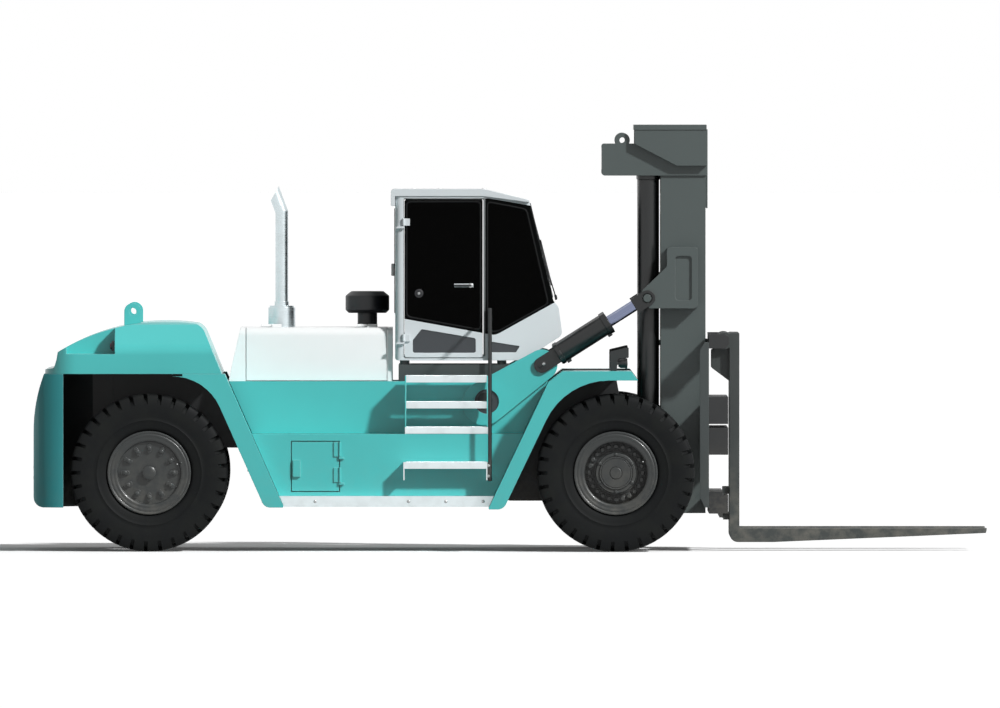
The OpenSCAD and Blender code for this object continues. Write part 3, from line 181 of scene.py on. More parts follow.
@dataclass(frozen=True)
class Enamel(Finish):
    """Two-pack enamel sprayed on steel: an even gloss with orange peel, dust low down and paler edges.

    Real orange peel is 2 to 5 mm across and too fine for the render, so it is drawn at 14 mm.
    """

    edge_mm: float = 7
    rub_mm: float = 60
    peel_mm: float = 14
    cloud_mm: float = 900
    grime_mm: float = 140
    dust: str = "#8f8b80"
    dust_share: float = 0.16
    dust_top_m: float = 1.1
    dust_full_m: float = 0.2
    worn: str = "#c9d4d3"
    coat: float = 0.35
    coat_roughness: float = 0.12

    def build(self) -> bpy.types.Material:
        """Makes the material.

        Returns:
            The material.
        """
        material, tree, shader = self.start(Coat_Weight=self.coat, Coat_Roughness=self.coat_roughness)
        self.paint(tree, shader, None)
        return material

    def paint(
        self, tree: bpy.types.NodeTree, shader: bpy.types.Node, tone: bpy.types.NodeSocket | None
    ) -> None:
        """Adds clouds, dust, worn edges and orange peel.

        Args:
            tree: The material's tree.
            shader: Its shader.
            tone: A colour that takes the place of the plain one, if any.
        """
        place = add_node(tree, "ShaderNodeTexCoord").outputs["Object"]
        height = add_node(tree, "ShaderNodeSeparateXYZ", links={0: place}).outputs["Z"]
        cloud = add_node(
            tree, "ShaderNodeTexNoise", {"Scale": per_metre(self.cloud_mm), "Detail": 4.0}, {"Vector": place}
        )
        shade = add_node(
            tree, "ShaderNodeMapRange", {1: 0.3, 2: 0.7, 3: 0.95, 4: 1.03}, {0: cloud.outputs["Fac"]}
        )
        base = add_node(
            tree,
            "ShaderNodeMix",
            {"data_type": "RGBA", "blend_type": "MULTIPLY", 0: 1.0, 6: linear(self.colour)},
            {7: shade.outputs[0]},
        )
        if tone is not None:
            tree.links.new(base.inputs[6], tone)
        round_edge = add_node(tree, "ShaderNodeBevel", {"samples": 4, "Radius": self.edge_mm * MM})
        flat = add_node(tree, "ShaderNodeNewGeometry")
        turn = add_node(
            tree,
            "ShaderNodeVectorMath",
            {"operation": "DOT_PRODUCT"},
            {0: round_edge.outputs[0], 1: flat.outputs["Normal"]},
        )
        rub = add_node(
            tree, "ShaderNodeTexNoise", {"Scale": per_metre(self.rub_mm), "Detail": 6.0}, {"Vector": place}
        )
        edge = add_node(
            tree, "ShaderNodeMapRange", {1: 0.985, 2: 0.90, 3: 0.0, 4: 0.45}, {0: turn.outputs["Value"]}
        )
        bare = add_node(
            tree, "ShaderNodeMath", {"operation": "MULTIPLY"}, {0: edge.outputs[0], 1: rub.outputs["Fac"]}
        )
        worn = add_node(
            tree,
            "ShaderNodeMix",
            {"data_type": "RGBA", 7: linear(self.worn)},
            {0: bare.outputs[0], 6: base.outputs[2]},
        )
        low = add_node(
            tree,
            "ShaderNodeMapRange",
            {1: self.dust_top_m, 2: self.dust_full_m, 3: 0.0, 4: 1.0},
            {0: height},
        )
        grime = add_node(
            tree,
            "ShaderNodeTexNoise",
            {"Scale": per_metre(self.grime_mm), "Detail": 8.0, "Roughness": 0.65},
            {"Vector": place},
        )
        settled = add_node(
            tree,
            "ShaderNodeMapRange",
            {1: 0.4, 2: 0.75, 3: 0.0, 4: self.dust_share},
            {0: grime.outputs["Fac"]},
        )
        film = add_node(
            tree, "ShaderNodeMath", {"operation": "MULTIPLY"}, {0: low.outputs[0], 1: settled.outputs[0]}
        )
        dusty = add_node(
            tree,
            "ShaderNodeMix",
            {"data_type": "RGBA", 7: linear(self.dust)},
            {0: film.outputs[0], 6: worn.outputs[2]},
        )
        dull = add_node(
            tree,
            "ShaderNodeMapRange",
            {1: 0.0, 2: 0.5, 3: self.roughness, 4: self.roughness + 0.3},
            {0: film.outputs[0]},
        )
        peel = add_node(
            tree, "ShaderNodeTexNoise", {"Scale": per_metre(self.peel_mm), "Detail": 2.0}, {"Vector": place}
        )
        bump = add_node(
            tree,
            "ShaderNodeBump",
            {"Strength": 0.06, "Distance": 0.002},
            {"Height": peel.outputs["Fac"], "Normal": round_edge.outputs[0]},
        )
        tree.links.new(shader.inputs["Base Color"], dusty.outputs[2])
        tree.links.new(shader.inputs["Roughness"], dull.outputs[0])
        tree.links.new(shader.inputs["Normal"], bump.outputs[0])


@dataclass(frozen=True)
class CabEnamel(Enamel):
    """The cab's enamel: white below the sill and on the roof, black round the windows.

    A sill and the visor are straight lines on the cab's side, each a point in X and Z and a slope.
    """

    black: str = "#050606"
    black_mirror: float = 0.06
    door_sill: tuple[float, float, float] = (-2020, 2236, -0.1818)
    front_sill: tuple[float, float, float] = (-1140, 2092, 0.555)
    corner: float = 50
    head_z: float = 3404
    visor: tuple[float, float, float] = (-1266, 3411, -0.1745)
    rear_x: float = -2046
    half_w: float = 741.5

    def build(self) -> bpy.types.Material:
        """Makes the material.

        Returns:
            The material.
        """
        material, tree, shader = self.start()
        place = add_node(tree, "ShaderNodeTexCoord").outputs["Object"]
        made = dict(zip("xyz", add_node(tree, "ShaderNodeSeparateXYZ", links={0: place}).outputs))
        for name, operation, *inputs in self.sums():
            numbers = {i: value for i, value in enumerate(inputs) if not isinstance(value, str)}
            links = {i: made[value] for i, value in enumerate(inputs) if isinstance(value, str)}
            node = add_node(tree, "ShaderNodeMath", {"operation": operation, **numbers}, links)
            made[name] = node.outputs[0]
        mirror = (self.black_mirror,) * 3 + (1.0,)
        tones = []
        for plain, black in ((linear(self.colour), linear(self.black)), ((1.0,) * 4, mirror)):
            mix = add_node(tree, "ShaderNodeMix", {"data_type": "RGBA", 6: plain, 7: black}, {0: made["band"]})
            tones.append(mix.outputs[2])
        self.paint(tree, shader, tones[0])
        tree.links.new(shader.inputs["Specular Tint"], tones[1])
        return material

    def sums(self) -> list[tuple[str | float, ...]]:
        """The sums that find the black band from a point's x, y and z.

        Returns:
            Name, operation and inputs of each sum, in order. An input is a number or an earlier name.
        """
        rows: list[tuple[str | float, ...]] = []
        for name, (x0, z0, slope) in (
            ("door_sill", self.door_sill), ("front_sill", self.front_sill), ("visor", self.visor)
        ):
            rows.append((name, "MULTIPLY_ADD", "x", slope, z0 * MM - slope * (x0 * MM + AXLE_X)))
        return rows + [
            ("sill", "SMOOTH_MAX", "door_sill", "front_sill", self.corner * MM),
            ("head", "MINIMUM", "visor", self.head_z * MM),
            ("above_sill", "GREATER_THAN", "z", "sill"),
            ("below_head", "LESS_THAN", "z", "head"),
            ("ahead", "GREATER_THAN", "x", self.rear_x * MM + AXLE_X),
            ("width", "ABSOLUTE", "y"),
            ("on_cab", "LESS_THAN", "width", self.half_w * MM),
            ("high", "MULTIPLY", "above_sill", "below_head"),
            ("long", "MULTIPLY", "high", "ahead"),
            ("band", "MULTIPLY", "long", "on_cab"),
        ]


@dataclass(frozen=True)
class Rubber(Finish):
    """Cured carbon-black rubber: deep grey, matt, with a dusty bloom and a fine moulded grain."""

    bloom: str = "#4a4c49"
    bloom_mm: float = 180
    grain_mm: float = 9

    def build(self) -> bpy.types.Material:
        """Makes the material.

        Returns:
            The material.
        """
        material, tree, shader = self.start(Specular_IOR_Level=0.14)
        place = add_node(tree, "ShaderNodeTexCoord").outputs["Object"]
        cloud = add_node(
            tree, "ShaderNodeTexNoise", {"Scale": per_metre(self.bloom_mm), "Detail": 7.0}, {"Vector": place}
        )
        share = add_node(
            tree, "ShaderNodeMapRange", {1: 0.42, 2: 0.8, 3: 0.0, 4: 0.4}, {0: cloud.outputs["Fac"]}
        )
        tone = add_node(
            tree,
            "ShaderNodeMix",
            {"data_type": "RGBA", 6: linear(self.colour), 7: linear(self.bloom)},
            {0: share.outputs[0]},
        )
        grain = add_node(
            tree, "ShaderNodeTexNoise", {"Scale": per_metre(self.grain_mm), "Detail": 4.0}, {"Vector": place}
        )
        bump = add_node(
            tree, "ShaderNodeBump", {"Strength": 0.25, "Distance": 0.002}, {"Height": grain.outputs["Fac"]}
        )
        rough = add_node(
            tree,
            "ShaderNodeMapRange",
            {1: 0.3, 2: 0.7, 3: self.roughness - 0.08, 4: self.roughness + 0.1},
            {0: cloud.outputs["Fac"]},
        )
        tree.links.new(shader.inputs["Base Color"], tone.outputs[2])
        tree.links.new(shader.inputs["Roughness"], rough.outputs[0])
        tree.links.new(shader.inputs["Normal"], bump.outputs[0])
        return material


@dataclass(frozen=True)
class BareMetal(Finish):
    """Bare or plated metal: a metallic sheen with fine drawn lines and faint stains.

    Real drawn lines are well under 1 mm apart, so they are drawn 3 mm apart to show.
    """

    line_mm: tuple[float, float, float] = (400, 400, 3)
    stain: str = "#6d6a64"
    stain_mm: float = 120
    stain_share: float = 0.15
    edge_mm: float = 3

    def build(self) -> bpy.types.Material:
        """Makes the material.

        Returns:
            The material.
        """
        material, tree, shader = self.start(Metallic=1.0)
        place = add_node(tree, "ShaderNodeTexCoord").outputs["Object"]
        drawn = add_node(
            tree, "ShaderNodeMapping", {"Scale": [per_metre(s) for s in self.line_mm]}, {"Vector": place}
        )
        lines = add_node(
            tree, "ShaderNodeTexNoise", {"Scale": 1.0, "Detail": 3.0}, {"Vector": drawn.outputs[0]}
        )
        spots = add_node(
            tree, "ShaderNodeTexNoise", {"Scale": per_metre(self.stain_mm), "Detail": 8.0}, {"Vector": place}
        )
        share = add_node(
            tree,
            "ShaderNodeMapRange",
            {1: 0.45, 2: 0.8, 3: 0.0, 4: self.stain_share},
            {0: spots.outputs["Fac"]},
        )
        tone = add_node(
            tree,
            "ShaderNodeMix",
            {"data_type": "RGBA", 6: linear(self.colour), 7: linear(self.stain)},
            {0: share.outputs[0]},
        )
        rough = add_node(
            tree,
            "ShaderNodeMapRange",
            {1: 0.3, 2: 0.7, 3: self.roughness * 0.8, 4: self.roughness * 1.3},
            {0: lines.outputs["Fac"]},
        )
        round_edge = add_node(tree, "ShaderNodeBevel", {"samples": 4, "Radius": self.edge_mm * MM})
        bump = add_node(
            tree,
            "ShaderNodeBump",
            {"Strength": 0.05, "Distance": 0.001},
            {"Height": lines.outputs["Fac"], "Normal": round_edge.outputs[0]},
        )
        tree.links.new(shader.inputs["Base Color"], tone.outputs[2])
        tree.links.new(shader.inputs["Roughness"], rough.outputs[0])
        tree.links.new(shader.inputs["Normal"], bump.outputs[0])
        return material


@dataclass(frozen=True)
class Moulded(Finish):
    """Moulded plastic or vinyl: a soft even sheen over a leathery grain, drawn coarse enough to show."""

    grain_mm: float = 5
    cloud_mm: float = 200
    grain_depth: float = 0.18
    sheen: float = 0.0

    def build(self) -> bpy.types.Material:
        """Makes the material.

        Returns:
            The material.
        """
        material, tree, shader = self.start(Sheen_Weight=self.sheen)
        place = add_node(tree, "ShaderNodeTexCoord").outputs["Object"]
        cells = add_node(
            tree, "ShaderNodeTexVoronoi", {"Scale": per_metre(self.grain_mm)}, {"Vector": place}
        )
        cloud = add_node(
            tree, "ShaderNodeTexNoise", {"Scale": per_metre(self.cloud_mm), "Detail": 5.0}, {"Vector": place}
        )
        shade = add_node(
            tree, "ShaderNodeMapRange", {1: 0.3, 2: 0.7, 3: 0.85, 4: 1.1}, {0: cloud.outputs["Fac"]}
        )
        tone = add_node(
            tree,
            "ShaderNodeMix",
            {"data_type": "RGBA", "blend_type": "MULTIPLY", 0: 1.0, 6: linear(self.colour)},
            {7: shade.outputs[0]},
        )
        bump = add_node(
            tree,
            "ShaderNodeBump",
            {"Strength": self.grain_depth, "Distance": 0.001},
            {"Height": cells.outputs["Distance"]},
        )
        tree.links.new(shader.inputs["Base Color"], tone.outputs[2])
        tree.links.new(shader.inputs["Normal"], bump.outputs[0])
        return material


@dataclass(frozen=True)
class Glass(Finish):
    """Tinted safety glass or a lamp lens: a hard gloss over a clear coloured body."""

    transmission: float = 1.0
    mirror: float = 1.0
    streak_mm: float = 500

    def build(self) -> bpy.types.Material:
        """Makes the material.

        Returns:
            The material.
        """
        material, tree, shader = self.start(
            Transmission_Weight=self.transmission, IOR=1.5, Specular_Tint=(self.mirror,) * 3 + (1.0,)
        )
        place = add_node(tree, "ShaderNodeTexCoord").outputs["Object"]
        film = add_node(
            tree, "ShaderNodeTexNoise", {"Scale": per_metre(self.streak_mm), "Detail": 5.0}, {"Vector": place}
        )
        rough = add_node(
            tree,
            "ShaderNodeMapRange",
            {1: 0.35, 2: 0.75, 3: self.roughness, 4: self.roughness + 0.06},
            {0: film.outputs["Fac"]},
        )
        tree.links.new(shader.inputs["Roughness"], rough.outputs[0])
        return material


class Finishes:
    """Every finish on the truck, built once and handed out by name."""

    def __init__(self) -> None:
        """Builds the materials."""
        # Gloss enamel on pressed plate: a clean teal with soft highlights along the edges.
        self.teal = Enamel("teal_enamel_on_steel", "#45bfbd", 0.3).build()
        # Enamel on the rough skin of the cast block: a deeper teal, which paints in the shade at the truck's rear
        # end, and it shows less of the sky.
        self.block = Enamel("teal_enamel_on_cast_iron", "#2d8c90", 0.6, coat=0.0).build()
        # White hood enamel: a shade off pure white, so that its form still shows.
        self.white = Enamel("white_enamel_on_steel", "#f2f4f4", 0.3, worn="#c5cbcb").build()
        # Cab enamel: pale grey, greyed from white as painted shade under the roof, with a black band that joins
        # the dark windows.
        self.cab = CabEnamel("cab_enamel_two_tone", "#d9e0e3", 0.28, worn="#c5cbcb").build()
        # Frame enamel: a satin black that takes the most dust. It also paints shade: inside the arches and the
        # duct, under the fenders and the cap, and on the carriage's beams.
        self.frame = Enamel(
            "black_frame_enamel", "#17191a", 0.5, worn="#4a4d4e", dust_share=0.4, coat=0.05
        ).build()
        # Mast enamel on rolled profiles: a flat dark grey with pale rubbed edges.
        self.mast = Enamel("grey_mast_enamel", "#495251", 0.42, worn="#7f8685", coat=0.1).build()
        # Carriage enamel: the mast's grey, a shade darker with grease.
        self.dark_mast = Enamel("dark_carriage_enamel", "#363d3d", 0.45, worn="#6d7473", coat=0.1).build()
        # Cylinder enamel on turned tube: near black with a long soft highlight.
        self.cylinder = Enamel("black_cylinder_enamel", "#0a0d0e", 0.34, worn="#4c5051", coat=0.1).build()
        # Panel enamel in the cab's sunk fields: a flat grey with little gloss. In the tilt arms' round recesses
        # it is painted shade.
        self.inset = Enamel("grey_panel_enamel", "#33373b", 0.45, worn="#6d7173", coat=0.1).build()
        # Rim enamel on pressed steel: dark grey, dusty, with a bright line on the flange.
        self.rim = Enamel(
            "grey_rim_enamel", "#202424", 0.38, worn="#7d8283", dust_share=0.3, coat=0.15
        ).build()
        # Enamel on forged forks: it wears to a dull grey along the blade.
        self.fork = Enamel(
            "forged_fork_enamel", "#353a39", 0.45, worn="#9b9d9b", dust_share=0.5, coat=0.05
        ).build()
        # Engine enamel on castings: a plain mid grey.
        self.engine = Enamel("grey_engine_enamel", "#6b6f70", 0.45, coat=0.1).build()
        # Tyre rubber, moulded: matt and nearly black, with a faint dusty bloom.
        self.rubber = Rubber("tyre_rubber", "#0e1011", 0.64, bloom="#2a2c29").build()
        # Seal rubber, extruded: an even black line round the glass.
        self.seal = Rubber("black_seal_rubber", "#101112", 0.6, bloom="#1b1c1c").build()
        # Hard chrome, ground: it mirrors the room with only a trace of lines, and it is dimmed and tinted blue as
        # a painted cool reflection, where real chrome is neutral.
        self.chrome = BareMetal("hard_chrome_rod", "#8088a2", 0.14).build()
        # Stainless steel, brushed: a pale stack with soot stains.
        self.stack = BareMetal("brushed_stainless_stack", "#d3dde0", 0.3, stain="#7d7a74").build()
        # Aluminium, pressed and scuffed: bright treads with lines along them.
        self.tread = BareMetal("bright_aluminium_tread", "#d6dfe1", 0.38, line_mm=(3, 300, 300)).build()
        # Zinc plate on bolts and pipes: small dull glints.
        self.zinc = BareMetal("zinc_plated_fastener", "#a9abab", 0.32).build()
        # Oiled steel of the chains: dark, with black oil between the plates.
        self.chain = BareMetal(
            "oiled_chain_steel", "#4b4d4e", 0.36, stain="#1d1a16", stain_share=0.6
        ).build()
        # ABS, moulded: black with a soft sheen.
        self.plastic = Moulded("moulded_black_plastic", "#0b0e13", 0.42).build()
        # Seat vinyl, embossed: dark grey with a leathery grain.
        self.vinyl = Moulded(
            "grey_seat_vinyl", "#2c2f33", 0.55, grain_mm=4, grain_depth=0.3, sheen=0.2
        ).build()
        # Safety glass, tinted deep: black from outside, with hardly a mirror image.
        self.glass = Glass("tinted_cab_glass", "#030404", 0.01, mirror=0.06).build()
        # Lamp lenses, moulded: clear, amber and red bodies under a hard gloss.
        self.clear = Glass("clear_lamp_lens", "#f2f4f4", 0.03).build()
        self.amber = Glass("amber_lamp_lens", "#e8a21c", 0.06, transmission=0.4).build()
        self.red = Glass("red_lamp_lens", "#b01818", 0.06, transmission=0.4).build()


def lathe(profile: Sequence[tuple[float, float]], steps: int = 48) -> bmesh.types.BMesh:
    """Turns a profile round the local Z axis.

    Args:
        profile: Radius and height of each point, in millimetres.
        steps: Faces round the axis.

    Returns:
        The turned part.
    """
    part = bmesh.new()
    rings = []
    for i in range(steps):
        angle = math.tau * i / steps
        rings.append([part.verts.new((r * math.cos(angle), r * math.sin(angle), h)) for r, h in profile])
    for i, ring in enumerate(rings):
        following = rings[(i + 1) % steps]
        for j in range(len(profile) - 1):
            part.faces.new((ring[j], following[j], following[j + 1], ring[j + 1]))
    bmesh.ops.remove_doubles(part, verts=part.verts, dist=0.001)
    bmesh.ops.recalc_face_normals(part, faces=part.faces)
    return part


def prism(outline: Sequence[tuple[float, float]], depth: float, bevel: float = 0.0) -> bmesh.types.BMesh:
    """Extrudes an outline along the local Z axis and breaks its edges.

    Args:
        outline: Points of the outline, in millimetres.
        depth: Length of the extrusion.
        bevel: Width of the broken edges.

    Returns:
        The extruded part.
    """
    part = bmesh.new()
    low = [part.verts.new((x, y, 0)) for x, y in outline]
    high = [part.verts.new((x, y, depth)) for x, y in outline]
    part.faces.new(low)
    part.faces.new(high)
    for i in range(len(outline)):
        j = (i + 1) % len(outline)
        part.faces.new((low[i], low[j], high[j], high[i]))
    bmesh.ops.recalc_face_normals(part, faces=part.faces)
    if bevel:
        bmesh.ops.bevel(part, geom=list(part.edges), offset=bevel, segments=2, profile=0.5, affect="EDGES")
    return part


def block(x: float, y: float, z: float, bevel: float) -> bmesh.types.BMesh:
    """A block with broken edges, centred in X and Y, standing on Z 0."""
    return prism([(-x / 2, -y / 2), (x / 2, -y / 2), (x / 2, y / 2), (-x / 2, y / 2)], z, bevel)


def hexagon(width: float) -> list[tuple[float, float]]:
    """The outline of a hexagon of that width across flats."""
    r = width / math.sqrt(3)
    return [(r * math.cos(math.tau * i / 6), r * math.sin(math.tau * i / 6)) for i in range(6)]


def bolt(width: float, height: float) -> bmesh.types.BMesh:
    """A hexagon head on its washer, standing on the local Z axis.

    Args:
        width: Width across flats, in millimetres.
        height: Height of head and washer.

    Returns:
        The bolt head.
    """
    part = prism(hexagon(width), height, width * 0.05)
    washer = lathe([(0, 0), (width * 0.8, 0), (width * 0.8, height * 0.2), (width * 0.5, height * 0.22)], 20)
    mesh = bpy.data.meshes.new("washer")
    washer.to_mesh(mesh)
    washer.free()
    part.from_mesh(mesh)
    bpy.data.meshes.remove(mesh)
    return part


def tube(
    points: Sequence[Sequence[float]], radius: float, sides: int = 12, closed: bool = False
) -> bmesh.types.BMesh:
    """Sweeps a round section along points.

    Args:
        points: The path, in millimetres.
        radius: Radius of the section.
        sides: Faces round it.
        closed: Whether the path joins its start.

    Returns:
        The swept part.
    """
    part = bmesh.new()
    path = [Vector(p) for p in points]
    count = len(path)
    up = None
    rings = []
    for i, point in enumerate(path):
        before = path[i - 1] if i or closed else point
        after = path[(i + 1) % count] if i < count - 1 or closed else point
        along = (after - before).normalized()
        if up is None:
            up = along.orthogonal().normalized()
        up = (up - along * up.dot(along)).normalized()
        across = along.cross(up)
        angles = [math.tau * k / sides for k in range(sides)]
        rings.append([part.verts.new(point + radius * (up * math.cos(a) + across * math.sin(a))) for a in angles])
    for i in range(count if closed else count - 1):
        a, b = rings[i], rings[(i + 1) % count]
        for k in range(sides):
            m = (k + 1) % sides
            part.faces.new((a[k], a[m], b[m], b[k]))
    if not closed:
        part.faces.new(rings[0])
        part.faces.new(rings[-1])
    bmesh.ops.recalc_face_normals(part, faces=part.faces)
    return part


def bent(points: Sequence[Sequence[float]], radius: float, steps: int = 5) -> list[Vector]:
    """A path whose corners are rounded.

    Args:
        points: The path's corners, in millimetres.
        radius: Distance from a corner at which its bend starts.
        steps: Points on each bend.

    Returns:
        The path.
    """
    corners = [Vector(p) for p in points]
    path = [corners[0]]
    for before, corner, after in zip(corners, corners[1:], corners[2:]):
        start = corner + (before - corner).normalized() * min(radius, (before - corner).length / 2)
        end = corner + (after - corner).normalized() * min(radius, (after - corner).length / 2)
        for i in range(steps + 1):
            t = i / steps
            path.append((1 - t) ** 2 * start + 2 * t * (1 - t) * corner + t * t * end)
    path.append(corners[-1])
    return path


def facing(x: float, y: float, z: float, toward: Sequence[float], spin: float = 0.0) -> Matrix:
    """A place whose local Z axis points in a direction.

    Args:
        x: Millimetres ahead of the drive axle.
        y: Millimetres to the left.
        z: Millimetres above the floor.
        toward: The direction.
        spin: Turn about it, in radians.

    Returns:
        The matrix that moves a part in millimetres to its place.
    """
    turn = Vector(toward).to_track_quat("Z", "Y").to_matrix().to_4x4()
    return Matrix.Translation((x, y, z)) @ turn @ Matrix.Rotation(spin, 4, "Z")


class Shape:
    """Gathers the parts of one piece, in the drawing's millimetres, and makes it a Blender object."""

    def __init__(self, name: str) -> None:
        """Starts an empty piece."""
        self.name = name
        self.whole = bmesh.new()

    def put(self, part: bmesh.types.BMesh, place: Matrix | None = None, finish: int = 0) -> "Shape":
        """Adds a copy of a part.

        Args:
            part: The part.
            place: Where it goes.
            finish: Number of its finish in the piece's list.

        Returns:
            The shape itself.
        """
        mesh = bpy.data.meshes.new("part")
        part.to_mesh(mesh)
        if place is not None:
            mesh.transform(place)
            if place.determinant() < 0:
                mesh.flip_normals()
        mesh.polygons.foreach_set("material_index", [finish] * len(mesh.polygons))
        self.whole.from_mesh(mesh)
        bpy.data.meshes.remove(mesh)
        return self

    def object(self, finishes: Sequence[bpy.types.Material], sharp: float = 35) -> bpy.types.Object:
        """Makes the object in the shared frame, with no body yet.

        Args:
            finishes: Its finishes.
            sharp: Edges that turn by more degrees than this stay sharp.

        Returns:
            The object.
        """
        mesh = bpy.data.meshes.new(self.name)
        self.whole.to_mesh(mesh)
        self.whole.free()
        mesh.transform(Matrix.Translation((AXLE_X, 0, 0)) @ Matrix.Scale(MM, 4))
        mesh.shade_smooth()
        mesh.set_sharp_from_angle(angle=math.radians(sharp))
        for finish in finishes:
            mesh.materials.append(finish)
        piece = bpy.data.objects.new(self.name, mesh)
        bpy.context.scene.collection.objects.link(piece)
        return piece

    def riding(self, body: str, *finishes: bpy.types.Material) -> bpy.types.Object:
        """Makes the object and fixes it to a body.

        Args:
            body: The body's name.
            finishes: The piece's finishes.

        Returns:
            The object.
        """
        piece = self.object(finishes)
        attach(piece, body)
        LOG.info("%s rides on %s", piece.name, body)
        return piece


@dataclass
class Bodywork:
    """Finishes of the CAD nodes, with the faces that are painted another colour, some of them as painted shade in
    hollows and under parts.
    """

    finishes: Finishes
    nodes: dict[str, bpy.types.Object]
    smooth_angle: float = 32
    weld: float = 0.00005
    arch_half_w: float = 1435
    duct_half_w: float = 420
    rear_arch_y: float = 1001
    front_arch_y: float = 906
    clevis_start: float = 1056
    field_x: tuple[float, float] = (-1962, -922)
    field_z: tuple[float, float] = (1905, 2145)
    field_depth: tuple[float, float] = (5, 12)
    cab_middle: tuple[float, float, float] = (-1450, 0, 2650)
    # X, Z and radius of the round recess in a tilt arm, whose floor is painted grey as shade, and of the pin's
    # head in it
    arm_recess: tuple[float, float, float] = (-1245, 1442, 114)
    arm_pin: tuple[float, float, float] = (-1260, 1459, 73.5)
    stringer_z: float = 1000
    dish_y: float = 1520
    hub_grooves: tuple[tuple[float, float], ...] = ((157, 165), (139, 147), (55, 63))

    def dress(self) -> None:
        """Gives every node its finish and soft shading."""
        group = self.soft_shading()
        for name, finish in self.finish_of().items():
            node = self.nodes[name]
            node.data.materials.clear()
            node.data.materials.append(finish)
            node.data.polygons.foreach_set("material_index", [0] * len(node.data.polygons))
            modifier = node.modifiers.new("soft_shading", "NODES")
            modifier.node_group = group
        f = self.finishes
        # Painted shade: faces that look forward inside the wheel arch, and the duct's side walls, are black for
        # the shade in these hollows.
        self.repaint("counterweight_block", f.frame, lambda c, n: abs(c.y) < self.arch_half_w and n.x > 0.05)
        self.repaint("counterweight_block", f.frame, lambda c, n: abs(c.y) < self.duct_half_w and abs(n.y) > 0.5)
        # Painted shade: the cap's downward faces are black for the shade under it.
        self.repaint("counterweight_cap", f.frame, lambda c, n: n.z < -0.5)
        # Painted shade: the fenders' arch linings, their downward faces and the rear fenders' rearward faces are
        # black for the shade under and behind them.
        self.repaint(
            "rear_fenders", f.frame, lambda c, n: n.x < -0.02 or n.z < -0.3 or abs(c.y) < self.rear_arch_y
        )
        self.repaint("front_fenders", f.frame, lambda c, n: n.z < -0.2 or abs(c.y) < self.front_arch_y)
        self.repaint("steps", f.teal, self.on_stringer)
        # Painted shade: the floor of the arm's round recess is grey for the shade in it; the pin's head takes the
        # black enamel.
        self.repaint("tilt_arms", f.inset, lambda c, n: self.on_arm(c, self.arm_recess))
        self.repaint("tilt_arms", f.frame, lambda c, n: self.on_arm(c, self.arm_pin))
        self.repaint("cab_shell", f.vinyl, self.faces_inside)
        self.repaint("cab_shell", f.inset, self.sunk_field)
        for side in Side:
            self.repaint(f"tilt_rod_{side.word}", f.cylinder, self.on_clevis)
            # Painted shade: the drive rims' dish floor and hub grooves are black.
            self.repaint(f"drive_rims_{side.word}", f.frame, self.in_hub_groove)
            self.repaint(f"cab_door_{side.word}", f.vinyl, lambda c, n: n.y * c.y < -0.5 * abs(c.y))
            self.repaint(f"cab_door_{side.word}", f.inset, self.sunk_field)

    def finish_of(self) -> dict[str, bpy.types.Material]:
        """Says which finish each node has.

        Returns:
            The finishes by the nodes' names.
        """
        f = self.finishes
        table = {
            f.block: "counterweight_block",
            f.teal: "counterweight_cap lifting_lugs rear_fenders front_fenders side_boxes "
            "side_panels service_door tilt_arms",
            f.white: "hood_spine hood_lid_right hood_lid_left",
            f.cab: "cab_shell cab_door_right cab_door_left",
            # The carriage's beams take the black enamel as painted shade, for the shadow they sit in.
            f.frame: "chassis_frame rear_frame radiator_grille handrails lamps drive_axle steer_axle "
            "knuckle_right knuckle_left carriage_beams",
            f.mast: "outer_mast mast_crossbars inner_mast inner_crossbars mast_crosshead",
            f.dark_mast: "carriage chain_pulleys cab_base",
            f.cylinder: "lift_barrels tilt_barrel_right tilt_barrel_left",
            f.chrome: "lift_rods tilt_rod_right tilt_rod_left",
            f.rim: "steer_rim_right steer_rim_left drive_rims_right drive_rims_left",
            f.rubber: "steer_tyre_right steer_tyre_left drive_tyres_right drive_tyres_left",
            f.fork: "fork_right fork_left",
            f.tread: "steps",
            f.stack: "exhaust_stack",
            f.plastic: "air_intake cab_interior",
            f.engine: "engine_block",
            f.glass: "cab_glass cab_door_glass_right cab_door_glass_left",
            f.chain: "lift_chains",
        }
        return {name: finish for finish, names in table.items() for name in names.split()}

    def repaint(
        self, name: str, finish: bpy.types.Material, test: Callable[[Vector, Vector], bool]
    ) -> None:
        """Gives some faces of a node a second finish.

        Args:
            name: The node.
            finish: The second finish.
            test: Says of a face's centre, in the drawing's millimetres, and normal whether it takes it.
        """
        mesh = self.nodes[name].data
        mesh.materials.append(finish)
        number = len(mesh.materials) - 1
        for face in mesh.polygons:
            centre = Vector(((face.center.x - AXLE_X) / MM, face.center.y / MM, face.center.z / MM))
            if test(centre, face.normal):
                face.material_index = number

    def faces_inside(self, centre: Vector, normal: Vector) -> bool:
        """Whether a face of the cab shell looks into the cab."""
        inward = normal.dot(Vector(self.cab_middle) - centre) > 300
        return inward and abs(centre.y) < 700 and centre.z < 3400

    def in_hub_groove(self, centre: Vector, normal: Vector) -> bool:
        """Tells the faces of a drive rim that are painted black as shade in its hollows.

        Args:
            centre: The face's centre.
            normal: The face's normal.

        Returns:
            Whether the face is the floor of the rim's dish, or of a groove in its hub cover.
        """
        radius = math.hypot(centre.x, centre.z - AXLE_Z)
        outward = normal.y * centre.y > 0.5 * abs(centre.y)
        grooved = any(low < radius < high for low, high in self.hub_grooves)
        return outward and (abs(centre.y) < self.dish_y or grooved)

